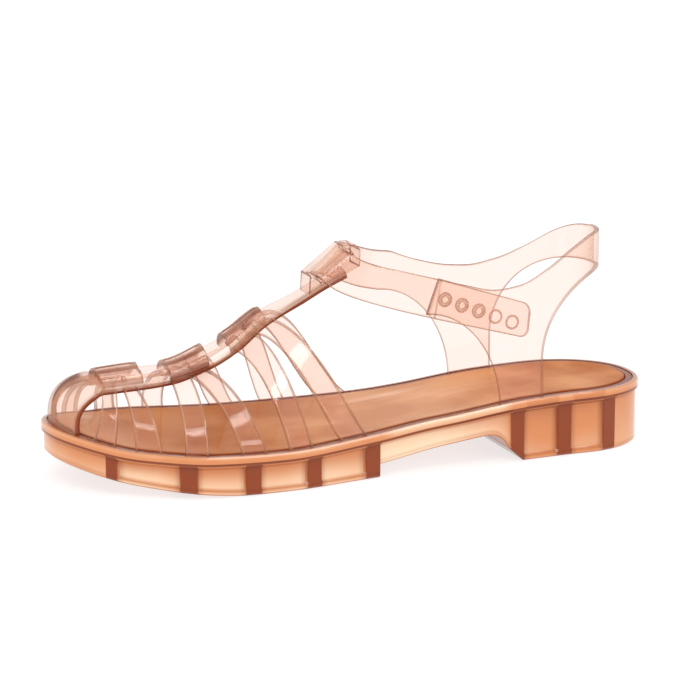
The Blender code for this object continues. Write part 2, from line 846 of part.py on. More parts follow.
def quarter_point(side, x, z, outside=0.0):
    """Point of the quarter's middle face at a place and height; it leans out to the rim below."""
    back = max(0.0, x - QUARTER_BACK) / (COLLAR_BACK - BAND_WALL / 2 - QUARTER_BACK)
    close = max(0.0, 1 - back ** QUARTER_POWER) ** (1 / QUARTER_POWER)
    middle = WELT + GAP + RIM_WIDTH / 2
    foot, _ = feather(-side, min(max(x, LEG_FRONT), LEG_FRONT + LEG_SPREAD), middle)
    base = footbed_height(along(foot[0]))
    low = min(1.0, max(0.0, 1 - (z - base) / (COLLAR_HEIGHT - base)))
    reach = QUARTER_OUT + (abs(foot[1]) - QUARTER_OUT) * low ** LEAN_POWER + outside
    return np.array((x, side * reach * close, z))


def foot_level(x):
    """Height down to which the sheets reach into the rim."""
    return footbed_height(along(x)) - TRAY_DEPTH * FOOT_SINK


def lower_edge():
    """Corners of the quarter's lower edge: flap, leg and heel band, each with its collar place."""
    base = foot_level(LEG_FRONT)
    rear = LEG_FRONT + LEG_SPREAD
    back = COLLAR_BACK - BAND_WALL / 2
    corners = []
    for i in range(EDGE_COLUMNS + 1):
        angle = math.pi / 2 * i / EDGE_COLUMNS
        x = FLAP_FOOT + (LEG_FRONT - FLAP_FOOT) * math.sin(angle)
        z = base + (FLAP_LOW - base) * math.cos(angle)
        corners.append((x, z, FLAP_TOP + (LEG_TOP - FLAP_TOP) * i / EDGE_COLUMNS))
    middle = (LEG_FRONT + rear) / 2
    corners.append((middle, foot_level(middle), (LEG_TOP + REAR_TOP) / 2))
    corners.append((rear, foot_level(rear), REAR_TOP - LEG_TURN))
    for i in range(BACK_COLUMNS + 1):
        part = 1 - (1 - i / BACK_COLUMNS) ** BACK_CROWD
        angle = math.pi / 2 * part
        x = back - (back - rear) * math.cos(angle)
        z = REAR_STRAIGHT + (REAR_LOW - REAR_STRAIGHT) * math.sin(angle)
        corners.append((x, z, REAR_TOP + (back - REAR_TOP) * part))
    return corners


def quarter_columns(side):
    """Columns of the quarter from the flap's front to the back of the heel."""
    columns = []
    for x_low, z_low, x_top in lower_edge():
        z_top = collar_height(side, x_top)
        column = []
        for k in range(5):
            up = k / 4
            z = z_low + (z_top - z_low) * up
            column.append(quarter_point(side, x_low + (x_top - x_low) * up, z))
        columns.append(column)
    return columns


def band_column(middle, lean, half):
    """Column of the strap across its width at one place of its path."""
    up = np.array((math.sin(lean), 0.0, math.cos(lean)))
    return [middle + up * half * (k / 2 - 1) for k in range(5)]


def smooth_path(points, steps):
    """Points of a smooth curve through the given ones."""
    ends = [2 * points[0] - points[1]] + points + [2 * points[-1] - points[-2]]
    curve = []
    for i in range(1, len(ends) - 2):
        a, b, c, d = ends[i - 1 : i + 3]
        for k in range(steps):
            u = k / steps
            bend = (2 * a - 5 * b + 4 * c - d) * u ** 2
            twist = (3 * b - a - 3 * c + d) * u ** 3
            curve.append(0.5 * (2 * b + (c - a) * u + bend + twist))
    curve.append(points[-1])
    return curve


def path_point(row):
    """Middle and lean of one row of the strap's path."""
    x = place(row.along)
    return np.array((x, row.out * QUARTER_OUT, row.height * COLLAR_HEIGHT, math.radians(row.lean)))


def tab_outside():
    """How far the tab lies outside the quarter."""
    return BAND_WALL + GAP * 1.4


def tab_point(x, z):
    """Point of the tab's middle face over the outer quarter."""
    return quarter_point(-1, x, z, tab_outside())


def tab_columns():
    """Columns of the tab with its rounded end."""
    start, end = path_point(TAB_START), path_point(TAB_END)
    reach = np.linalg.norm(end[:3] - start[:3])
    marks = [i * (reach - TAB_CORNER) / TAB_STEPS for i in range(TAB_STEPS + 1)]
    marks += [reach - TAB_CORNER * share for share in TAB_ROUND]
    columns = []
    for mark in marks:
        middle = start + (end - start) * mark / reach
        cut = max(0.0, 1 - (reach - mark) / TAB_CORNER)
        half = BAND_WIDTH / 2 * (1 - (1 - TAB_TAPER) * mark / reach)
        half -= TAB_CORNER * (1 - math.sqrt(max(0.0, 1 - cut ** 2)))
        column = band_column(middle[:3], middle[3], half)
        columns.append([tab_point(p[0], p[2]) for p in column])
    return columns


def band_columns():
    """Columns of the strap from the inner quarter through the keeper to the end of the tab."""
    inner = quarter_columns(1)[0]
    low, high = inner[0], inner[-1]
    first = np.append((low + high) / 2, math.atan2(high[0] - low[0], high[2] - low[2]))
    slot = np.append(slot_middle(), math.pi / 2 - KEEPER_SLOPE)
    path = [first] + [path_point(row) for row in PATH_INNER]
    for side in (1, 0, -1):
        path.append(slot + np.array((0.0, side * KEEPER_WIDTH / 2, 0.0, 0.0)))
    path += [path_point(row) for row in PATH_OUTER]
    tab = tab_columns()
    start = (tab[0][0] + tab[0][-1]) / 2
    path.append(np.append(start, math.radians(TAB_START.lean)))
    columns = [band_column(p[:3], p[3], BAND_WIDTH / 2) for p in smooth_path(path, 3)]
    return columns[1:-1] + tab


def hole_middles():
    """Middles of the tab's holes along its middle line."""
    start, end = path_point(TAB_START), path_point(TAB_END)
    reach = np.linalg.norm(end[:3] - start[:3])
    middles = []
    for i in range(HOLES):
        middle = start + (end - start) * (HOLE_START + HOLE_PITCH * i) / reach
        middle[2] += HOLE_LIFT - HOLE_DROP * i / (HOLES - 1)
        middles.append(middle)
    return middles


def round_pin(name, middle, radius, inner, outer, collection):
    """Make a short pin square to the quarter, from one distance outside it to another."""
    points = []
    for outside in (inner, outer):
        for i in range(PIN_SIDES):
            angle = 2 * math.pi * i / PIN_SIDES
            x = middle[0] + radius * math.cos(angle)
            z = middle[2] + radius * math.sin(angle)
            points.append(quarter_point(-1, x, z, outside))
    faces = [tuple(range(PIN_SIDES)), tuple(range(PIN_SIDES, 2 * PIN_SIDES))]
    for i in range(PIN_SIDES):
        j = (i + 1) % PIN_SIDES
        faces.append((i, j, PIN_SIDES + j, PIN_SIDES + i))
    return make_object(name, points, faces, collection)


def make_ankle_strap(collection, cutters, material):
    """Make the heel band with its legs, the strap through the keeper, the tab, holes and pegs."""
    outer = quarter_columns(-1)
    inner = quarter_columns(1)
    columns = outer + inner[::-1][1:] + band_columns()
    sheet = patch("sheet", columns, cutters, BAND_WALL, BAND_WALL / 2)
    holes = []
    pegs = []
    for index, middle in enumerate(hole_middles()):
        near = tab_outside() / 2
        far = tab_outside() + BAND_WALL
        holes.append(round_pin(f"hole_{index}", middle, HOLE_RADIUS, near, far, cutters))
        if index < PEGS:
            top = tab_outside() + BAND_WALL / 2 + PEG_HEAD
            pegs.append(round_pin(f"peg_{index}", middle, PEG_RADIUS, 0.0, top, cutters))
    combine(sheet, holes, "DIFFERENCE")
    reach = turn_at(along(LEG_FRONT))
    turns = [reach + (2 * math.pi - 2 * reach) * i / REAR_COLUMNS for i in range(REAR_COLUMNS + 1)]
    strap = make_rim("ankle_strap", turns, collection)
    strap.data.materials.append(material)
    combine(strap, [sheet] + pegs, "UNION")
    return strap


def main():
    """Build the sandal."""
    collection, cutters = reset_scene()
    sole = make_material("sole_jelly", (0.80, 0.42, 0.25), 0.12)
    bed = make_material("footbed_jelly", (0.72, 0.33, 0.18), 0.18)
    clear = make_material("upper_jelly", (0.93, 0.62, 0.46), 0.10)
    make_outsole(collection, sole)
    make_insole(collection, bed)
    make_upper(collection, cutters, clear)
    make_ankle_strap(collection, cutters, clear)


main()
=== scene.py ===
"""Looks of the jelly sandal: clear moulded upper and ankle strap, clouded footbed and ribbed amber sole.

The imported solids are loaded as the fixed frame. Each of the four nodes is replaced by one piece with
the same form, finer steps and soft edges. Toe towards -X, outer side towards -Y, up +Z, in metres.
"""
from __future__ import annotations

import logging
import math

from collections.abc import Callable
from dataclasses import dataclass, field
from enum import Enum

import bmesh
import bpy
import numpy as np
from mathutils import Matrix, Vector

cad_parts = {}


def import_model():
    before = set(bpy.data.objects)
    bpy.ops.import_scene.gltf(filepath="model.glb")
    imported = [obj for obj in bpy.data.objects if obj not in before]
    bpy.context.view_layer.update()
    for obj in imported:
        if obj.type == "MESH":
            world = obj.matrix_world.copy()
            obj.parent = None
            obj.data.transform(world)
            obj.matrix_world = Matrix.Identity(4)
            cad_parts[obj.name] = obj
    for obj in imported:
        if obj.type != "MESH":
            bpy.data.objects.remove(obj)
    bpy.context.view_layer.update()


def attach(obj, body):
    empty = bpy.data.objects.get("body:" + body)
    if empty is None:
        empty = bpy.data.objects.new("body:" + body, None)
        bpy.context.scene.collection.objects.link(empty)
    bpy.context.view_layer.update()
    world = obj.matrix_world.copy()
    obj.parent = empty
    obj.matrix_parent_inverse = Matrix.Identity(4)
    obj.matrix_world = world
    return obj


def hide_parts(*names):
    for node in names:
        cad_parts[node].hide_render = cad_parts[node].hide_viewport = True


LOG = logging.getLogger("jelly_sandal")
MM = 0.001
TINY = 1e-6
NO_LENGTH = 1e-12
LARGE_FACE = 4 * MM * MM
Socket = bpy.types.NodeSocket
Surface = Callable[[np.ndarray, np.ndarray], np.ndarray]

# The four rings of a soft edge, from the side to the flat: how far each lies back from the face and in
# from the side, both in radii, how dark its line is, and how much of the side's depth it shows
CORNER = 0.29
RING_BACK = (1.0, CORNER, 0.0, 0.0)
RING_IN = (0.0, CORNER, 1.0, 1.8)
RING_DARK = (0.7, 1.0, 0.3, 0.0)
RING_DEEP = (1.0, 1.0, 1.0, 0.6)
RING_LIMIT = 0.24
WIDTH_MARKS = 9


class Part(Enum):
    """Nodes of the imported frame."""

    OUTSOLE = "outsole"
    INSOLE = "insole"
    UPPER = "upper"
    ANKLE_STRAP = "ankle_strap"


class Slot(Enum):
    """Material slots of the record."""

    SOLE = "sole_jelly"
    FOOTBED = "footbed_jelly"
    UPPER = "upper_jelly"


class Side(Enum):
    """Side of the foot as the sign that the outline uses."""

    OUTER = 1
    INNER = -1


# Shapes


def unit(vectors: np.ndarray) -> np.ndarray:
    """Vectors brought to length 1."""
    return vectors / np.maximum(np.linalg.norm(vectors, axis=-1, keepdims=True), NO_LENGTH)


def ring_faces(rows: int, count: int, closed: bool = False) -> list[tuple[int, ...]]:
    """Faces between rows of vertices that are rings.

    Args:
        rows: how many rings.
        count: how many vertices each has.
        closed: whether the last ring joins the first, where otherwise both are capped.

    Returns:
        Faces as tuples of indices.
    """
    faces = [] if closed else [tuple(range(count)), tuple(range((rows - 1) * count, rows * count))]
    for i in range(rows if closed else rows - 1):
        j = (i + 1) % rows
        for a in range(count):
            b = (a + 1) % count
            faces.append((i * count + a, i * count + b, j * count + b, j * count + a))
    return faces


def plate_faces(count: int, tall: int) -> list[tuple[int, ...]]:
    """Faces of a plate from columns of vertices round its outline.

    Args:
        count: how many columns, the first at the toe.
        tall: how many vertices each has.

    Returns:
        Faces of the wall, and of the strips across the top and the bottom.
    """
    faces = []
    for i in range(count):
        a, b = i * tall, (i + 1) % count * tall
        faces += [(a + k, b + k, b + k + 1, a + k + 1) for k in range(tall - 1)]
    for level in (0, tall - 1):
        for i in range(count // 2):
            ring = (i, i + 1, (count - i - 1) % count, (count - i) % count)
            faces.append(tuple(c * tall + level for c in dict.fromkeys(ring)))
    return faces


def face_outward(mesh: bpy.types.Mesh) -> None:
    """Point all faces of a mesh outward."""
    work = bmesh.new()
    work.from_mesh(mesh)
    bmesh.ops.recalc_face_normals(work, faces=work.faces)
    work.to_mesh(mesh)
    work.free()


def add_object(name: str, data: bpy.types.ID) -> bpy.types.Object:
    """Make an object at the origin and link it to the scene."""
    item = bpy.data.objects.new(name, data)
    bpy.context.scene.collection.objects.link(item)
    return item


@dataclass(frozen=True)
class Curve:
    """Smooth curve through a few places, without overshoot."""

    xs: tuple[float, ...]
    ys: tuple[float, ...]

    def at(self, x: np.ndarray | float) -> np.ndarray:
        """Read the curve.

        Args:
            x: places, clamped to the curve's own range.

        Returns:
            The curve's values there.
        """
        xs, ys = np.array(self.xs), np.array(self.ys)
        slopes = np.diff(ys) / np.diff(xs)
        before, after = slopes[:-1], slopes[1:]
        total = np.where(before * after > 0, before + after, 1.0)
        inner = np.where(before * after > 0, 2 * before * after / total, 0.0)
        tangents = np.concatenate(([slopes[0]], inner, [slopes[-1]]))
        x = np.clip(np.asarray(x, float), xs[0], xs[-1])
        k = np.clip(np.searchsorted(xs, x, side="left") - 1, 0, len(slopes) - 1)
        span = (xs[1:] - xs[:-1])[k]
        u = (x - xs[k]) / span
        rise = ys[k + 1] - ys[k]
        bend = tangents[k] * span * u * (1 - u) ** 2 - tangents[k + 1] * span * u**2 * (1 - u)
        return ys[k] + rise * u * u * (3 - 2 * u) + bend


def columns_of(rows: tuple[tuple[float, ...], ...]) -> tuple[Curve, ...]:
    """Turn a table whose first column is the place into one curve for each other column.

    Args:
        rows: the table.

    Returns:
        One curve per further column.
    """
    xs = tuple(row[0] for row in rows)
    return tuple(Curve(xs, tuple(row[i] for row in rows)) for i in range(1, len(rows[0])))


@dataclass
class Last:
    """Sizes of the sole's outline and footbed, on which every other piece stands."""

    length: float = 255 * MM
    ball_width: float = 94 * MM
    toe_height: float = 23.5 * MM
    ball_height: float = 16 * MM
    heel_height: float = 26.5 * MM
    toe_spring: float = 11 * MM
    arch_rise: float = 11.5 * MM
    tray_depth: float = 2 * MM
    welt: float = 2.2 * MM
    gap: float = 0.3 * MM
    rim_width: float = 2.8 * MM
    toe_round: float = 0.20
    heel_round: float = 0.13
    round_power: float = 2.3
    block_end: float = 0.4997
    heel_start: float = 0.739
    plan: tuple = (
        (0.00, 0.045, 0.372),
        (0.10, 0.045, 0.436),
        (0.22, 0.001, 0.494),
        (0.34, -0.013, 0.480),
        (0.48, -0.011, 0.410),
        (0.60, -0.017, 0.348),
        (0.72, -0.025, 0.340),
        (0.86, 0.002, 0.338),
        (1.00, -0.003, 0.305),
    )
    climb: tuple = (
        (0.00, 1.00, 0.00),
        (0.12, 0.24, 0.00),
        (0.33, 0.00, 0.00),
        (0.48, 0.00, 0.17),
        (0.62, 0.00, 0.50),
        (0.76, 0.00, 0.90),
        (0.90, 0.00, 0.98),
        (1.00, 0.00, 1.00),
    )
    spring: tuple = ((0.00, 1.00), (0.10, 0.42), (0.20, 0.13), (0.28, 0.00), (1.00, 0.00))
    arch: tuple = ((0.50, 0.42), (0.55, 0.55), (0.61, 0.76), (0.69, 1.00))
    heel_front_power: float = 3.0
    turn_steps: int = 1200
    tables: dict = field(default_factory=dict)

    def along(self, x: np.ndarray | float) -> np.ndarray | float:
        """Share of the length at a place."""
        return x / self.length + 0.5

    def place(self, share: np.ndarray | float) -> np.ndarray | float:
        """Place of a share of the length."""
        return (share - 0.5) * self.length

    def outline(self, turn: np.ndarray) -> np.ndarray:
        """Points of the outline: turn 0 is the toe, pi the heel, positive over the outer side.

        Args:
            turn: angles round the outline.

        Returns:
            Plan points, the last axis being x and y.
        """
        turn = (np.asarray(turn, float) + math.pi) % (2 * math.pi) - math.pi
        t = (1 - np.cos(turn)) / 2
        side = np.where(turn >= 0, -1.0, 1.0)
        centre, half = columns_of(self.plan)
        toe = np.clip((self.toe_round - t) / self.toe_round, 0, 1)
        heel = np.clip((t - 1 + self.heel_round) / self.heel_round, 0, 1)
        close = np.maximum(toe, heel)
        power = self.round_power
        width = half.at(t) * np.maximum(0.0, 1 - close**power) ** (1 / power)
        return np.stack((self.place(t), self.ball_width * (centre.at(t) + side * width)), -1)

    def inset(self, turn: np.ndarray, distance: np.ndarray | float) -> np.ndarray:
        """Points of the outline moved inward, square to the edge.

        Args:
            turn: angles round the outline.
            distance: how far inward.

        Returns:
            Plan points.
        """
        step = 1e-4
        run = unit(self.outline(turn + step) - self.outline(turn - step))
        inward = np.stack((-run[..., 1], run[..., 0]), -1)
        return self.outline(turn) + np.asarray(distance)[..., None] * inward

    def feather(self, side: int, x: np.ndarray, distance: float) -> tuple[np.ndarray, np.ndarray]:
        """Points of the inset outline at places along the foot, with their outward directions.

        Args:
            side: 1 for the outer side and -1 for the inner.
            x: places along the foot.
            distance: how far inside the outline.

        Returns:
            Plan points and unit outward directions.
        """
        key = (side, round(distance, 6))
        if key not in self.tables:
            turns = side * np.linspace(0.0, math.pi, self.turn_steps)
            outward = unit(self.inset(turns, 0.0) - self.inset(turns, 1 * MM))
            self.tables[key] = (self.inset(turns, distance), outward)
        points, outward = self.tables[key]
        keys = points[:, 0]
        found = np.stack([np.interp(x, keys, points[:, i]) for i in (0, 1)], -1)
        ways = np.stack([np.interp(x, keys, outward[:, i]) for i in (0, 1)], -1)
        return found, unit(ways)

    def footbed(self, t: np.ndarray | float) -> np.ndarray:
        """Height of the top of the sole."""
        toe, heel = columns_of(self.climb)
        rise = (self.toe_height - self.ball_height) * toe.at(t)
        return self.ball_height + rise + (self.heel_height - self.ball_height) * heel.at(t)

    def bottom(self, t: float) -> float:
        """Height of the underside: toe spring, front block, arch, heel front and heel block.

        Args:
            t: share of the length.

        Returns:
            The height there.
        """
        if t <= self.block_end:
            return float(self.toe_spring * columns_of(self.spring)[0].at(t))
        if t >= self.heel_start:
            return 0.0
        fall = 1.0
        last = self.arch[-1][0]
        if t > last:
            fall -= ((t - last) / (self.heel_start - last)) ** self.heel_front_power
        return float(self.arch_rise * columns_of(self.arch)[0].at(t) * fall)


@dataclass
class Skin:
    """Vertices, faces and per-vertex values of one piece while it grows."""

    points: list = field(default_factory=list)
    faces: list = field(default_factory=list)
    edge: list = field(default_factory=list)
    depth: list = field(default_factory=list)
    flats: dict = field(default_factory=dict)

    def add(self, points: np.ndarray, faces: list, edge: np.ndarray, depth: np.ndarray | float) -> None:
        """Add one closed form.

        Args:
            points: its vertices.
            faces: its faces as tuples of indices.
            edge: how dark the line is at each vertex, from 0 to 1.
            depth: how much plastic the eye meets, from 0 to 1.
        """
        start = len(self.points)
        self.points += [tuple(p) for p in points]
        self.faces += [tuple(start + i for i in face) for face in faces]
        self.edge += [float(value) for value in edge]
        self.depth += list(np.broadcast_to(np.asarray(depth, float), (len(points),)))

    def slab(
        self,
        point: Surface,
        us: np.ndarray,
        wall: float,
        depth: np.ndarray | float,
        radius: float = 0.5 * MM,
        rise: float = 0.0,
        middle: tuple[float, ...] = (0.2, 0.5, 0.8),
        inside: tuple[float, float, float] = (0.8, 0.0, 30 * MM),
        end_edge: tuple[float, float] = (0.0, 0.0),
        side_depth: float | None = None,
        sides: tuple[float, float] = (1.0, 1.0),
        upper: float = 1.0,
        strength: np.ndarray | float = 1.0,
    ) -> None:
        """Add a band with soft edges along a surface.

        Args:
            point: surface as a function of a column of u and rows of v, both from 0 to 1.
            us: the steps along the band.
            wall: thickness.
            depth: how much plastic the eye meets, for all steps or for each.
            radius: of the soft edges.
            rise: part of the wall that stands outside the surface.
            middle: shares across the band between its edges.
            inside: share of x, then y and z of the point that lies inside the foot.
            end_edge: how dark the start and the end are.
            side_depth: depth along the two sides, where it differs.
            sides: how much of the lines and of that depth the two sides show.
            upper: how much of it shows on the upper half of the wall.
            strength: how much of it each step shows.
        """
        u = np.asarray(us, float)[:, None]
        marks = point(u, np.broadcast_to(np.linspace(0, 1, WIDTH_MARKS), (len(u), WIDTH_MARKS)))
        width = np.linalg.norm(np.diff(marks, axis=1), axis=-1).sum(1)[:, None]
        radius = min(radius, wall / 2)
        near = np.minimum(radius / width * np.array(RING_IN), RING_LIMIT)
        last = near[:, -1:]
        inner = last + (1 - 2 * last) * np.array(middle)[None, :]
        grid = point(u, np.concatenate((near, inner, 1 - near[:, ::-1]), 1))
        normal = unit(np.cross(np.gradient(grid, axis=0), np.gradient(grid, axis=1)))
        away = grid - np.array((0, inside[1], inside[2])) - grid * np.array((inside[0], 0, 0))
        if (normal * away).sum() < 0:
            normal = -normal

        def across(ring: tuple[float, ...]) -> np.ndarray:
            """Values from side to side: the rings' own at both edges and 0 between them."""
            return np.concatenate((ring, np.zeros(len(middle)), ring[::-1]))

        lift = across(RING_BACK)[None, :, None] * radius
        top = grid + normal * (rise - lift)
        low = grid + normal * (rise - wall + lift)
        ring = np.concatenate((top, low[:, ::-1]), 1)
        rows, count = ring.shape[:2]
        edges = len(RING_IN)
        spread = np.repeat((sides[0], 0.0, sides[1]), (edges, len(middle), edges))
        weight = np.concatenate((spread * upper, spread[::-1]))
        weight = weight * np.broadcast_to(strength, (rows,))[:, None]
        shade = across(RING_DARK)
        dark = np.concatenate((shade, shade[::-1])) * weight
        for row, value in zip((0, -1), end_edge):
            dark[row] = np.maximum(dark[row], value)
        deep = np.broadcast_to(depth, (rows,))[:, None] + np.zeros_like(dark)
        if side_depth is not None:
            beside = across(RING_DEEP)
            deep += (side_depth - deep) * np.concatenate((beside, beside[::-1])) * weight
        self.add(ring.reshape(-1, 3), ring_faces(rows, count), dark.ravel(), deep.ravel())

    def absorb(self, item: bpy.types.Object, edge: float, flat: float, depth: float) -> None:
        """Add a finished object's evaluated mesh and remove the object.

        Args:
            item: the object.
            edge: how dark its small faces are, which round its edges.
            flat: how dark its large faces are.
            depth: how much plastic the eye meets.
        """
        bpy.context.view_layer.update()
        graph = bpy.context.evaluated_depsgraph_get()
        mesh = bpy.data.meshes.new_from_object(item.evaluated_get(graph))
        mesh.transform(item.matrix_world)
        faces = [tuple(face.vertices) for face in mesh.polygons]
        points = np.array([v.co for v in mesh.vertices])
        for index, face in enumerate(mesh.polygons):
            if face.area > LARGE_FACE:
                self.flats[len(self.faces) + index] = flat
        self.add(points, faces, np.full(len(points), edge), depth)
        bpy.data.meshes.remove(mesh)
        bpy.data.objects.remove(item)

    def build(self, name: str, material: bpy.types.Material, sharp: float = 40.0) -> bpy.types.Object:
        """Make the object.

        Args:
            name: of the object.
            material: of all its faces.
            sharp: angle in degrees above which an edge stays sharp.

        Returns:
            The new object, at the origin.
        """
        mesh = bpy.data.meshes.new(name)
        mesh.from_pydata(self.points, [], self.faces)
        owner = np.array([i for face in self.faces for i in face])
        edge = np.array(self.edge)[owner]
        starts = np.cumsum([0] + [len(face) for face in self.faces])
        for index, value in self.flats.items():
            edge[starts[index] : starts[index + 1]] = value
        for label, values, domain in (("edge", edge, "CORNER"), ("depth", np.array(self.depth), "POINT")):
            attribute = mesh.attributes.new(label, "FLOAT", domain)
            attribute.data.foreach_set("value", values.astype(np.float32))
        face_outward(mesh)
        mesh.shade_smooth()
        mesh.set_sharp_from_angle(angle=math.radians(sharp))
        mesh.materials.append(material)
        return add_object(name, mesh)


@dataclass
class Cage:
    """The upper's face over the foot: crown line, sides and centre bar."""

    last: Last
    instep: float = 72 * MM
    bulge: float = 1.2 * MM
    foot_set: float = 0.3 * MM
    dome_at: float = 0.078
    crown_side: float = -0.008
    crown: tuple = (
        (0.078, 0.596, 0.531, 0.114, 2.10),
        (0.140, 0.612, 0.539, 0.112, 1.85),
        (0.190, 0.614, 0.553, 0.104, 1.75),
        (0.255, 0.696, 0.611, 0.090, 1.60),
        (0.300, 0.768, 0.696, 0.084, 1.45),
        (0.345, 0.872, 0.825, 0.074, 1.35),
        (0.410, 0.965, 0.950, 0.056, 1.30),
        (0.450, 1.038, 1.022, 0.052, 1.30),
        (0.520, 1.150, 1.134, 0.052, 1.30),
    )

    def __post_init__(self) -> None:
        """Make the crown's curves."""
        self.height, self.edge, self.bar, self.power = columns_of(self.crown)
        self.inset = self.last.welt + self.last.gap + self.foot_set

    def top(self, t: np.ndarray) -> np.ndarray:
        """Height of the crown line."""
        return self.instep * self.height.at(np.maximum(t, self.dome_at))

    def face(self, side: int, t: np.ndarray, rise: np.ndarray, full: np.ndarray | None = None) -> np.ndarray:
        """Points of the face.

        Args:
            side: 1 outer, -1 inner.
            t: shares of the length.
            rise: 0 at the rim and 1 at the full height.
            full: height of the section's top, or the crown line's.

        Returns:
            Points, the last axis being x, y and z.
        """
        last = self.last
        x = np.maximum(last.place(t), last.place(0.0) + self.inset + TINY)
        foot, outward = last.feather(side, x, self.inset)
        at = np.maximum(t, self.dome_at)
        crown = np.stack((last.place(at), np.full_like(at, last.ball_width * self.crown_side)), -1)
        power = 2.0 / self.power.at(at)
        angle = np.minimum(rise, 1.0) * math.pi / 2
        reach = np.maximum(np.cos(angle), 0.0) ** power
        climb = np.sin(angle) ** power
        base = last.footbed(last.along(foot[..., 0]))
        swell = self.bulge * np.sin(2 * angle)
        plan = crown + (foot - crown) * reach[..., None] + outward * swell[..., None]
        height = self.top(t) if full is None else full
        return np.concatenate((plan, (base + (height - base) * climb)[..., None]), -1)

    def bar_rise(self, side: int, t: np.ndarray) -> np.ndarray:
        """Rise at which the face meets the edge of the centre bar.

        Args:
            side: 1 outer, -1 inner.
            t: shares of the length.

        Returns:
            Rises, as face takes them.
        """
        last = self.last
        foot, _ = last.feather(side, last.place(t), self.inset)
        width = np.abs(foot[..., 1] - last.ball_width * self.crown_side)
        share = np.minimum(1.0, last.ball_width * self.bar.at(t) / width)
        power = 2.0 / self.power.at(t)
        return np.arccos(share ** (1 / power)) / (math.pi / 2)

    def side_height(self, side: int, t: np.ndarray) -> np.ndarray:
        """Full height of the section whose curve meets the edge of the centre bar.

        Args:
            side: 1 outer, -1 inner.
            t: shares of the length.

        Returns:
            Heights of the section's top.
        """
        at = np.maximum(t, self.dome_at)
        base = self.last.footbed(at)
        climb = np.sin(self.bar_rise(side, at) * math.pi / 2) ** (2.0 / self.power.at(at))
        return base + (self.instep * self.edge.at(at) - base) / climb

    def over_bar(self, t: np.ndarray, share: np.ndarray) -> np.ndarray:
        """Points over the centre bar.

        Args:
            t: shares of the length.
            share: -1 at the inner edge, 0 on the crown line and 1 at the outer edge.

        Returns:
            Points.
        """
        t, share = np.broadcast_arrays(np.asarray(t, float), np.asarray(share, float))
        edges = [self.face(s, t, self.bar_rise(s, t), self.side_height(s, t)) for s in (1, -1)]
        edge = np.where((share >= 0)[..., None], edges[0], edges[1])
        middle = self.last.ball_width * self.crown_side
        size = np.abs(share)
        y = middle + (edge[..., 1] - middle) * size
        z = edge[..., 2] + (self.top(t) - edge[..., 2]) * (1 - size**2)
        return np.stack((edge[..., 0], y, z), -1)


# Looks of the wall's corners from the tray down: how dark the line is, then how deep the plastic
# looks in a window, in the waist, on a rib and at the two ends. The dark rows under the lip are painted
# shade of its overhang, and the darker lintel and window tops are painted shade under it
WALL_PAINT = (
    ("tray", 0.30, 0.60, 0.60, 0.60, 0.60),
    ("welt", 0.80, 0.60, 0.60, 0.60, 0.60),
    ("edge", 0.30, 0.40, 0.40, 0.40, 0.40),
    ("lip", 0.00, 0.38, 0.38, 0.38, 0.38),
    ("lip low", 0.05, 0.52, 0.52, 0.52, 0.52),
    # painted shade: these two dark rows under the lip stand for the shadow of its overhang
    ("line", 0.95, 0.70, 0.70, 0.70, 0.70),
    ("line low", 0.90, 0.70, 0.70, 0.70, 0.70),
    ("under", 0.10, 0.45, 0.22, 0.90, 0.50),
    ("face", 0.25, 0.55, 0.30, 1.00, 0.50),
    # painted shade: the lintel and the top of each window are deeper than the pocket's lower part, for the
    # shade under the overhang
    ("lintel", 0.40, 0.60, 0.20, 1.00, 0.48),
    ("pocket top", 0.10, 0.46, 0.10, 1.00, 0.46),
    ("pocket low", 0.00, 0.18, 0.04, 1.00, 0.36),
    ("sill", 0.25, 0.40, 0.06, 1.00, 0.34),
    ("foot", 0.02, 0.24, 0.12, 1.00, 0.44),
    ("sole", 0.50, 0.50, 0.40, 1.00, 0.60),
)
LIP_ROWS = (2, 3, 4)
FIRST_POCKET_ROW = 9
WINDOW_SIDE = 0.5


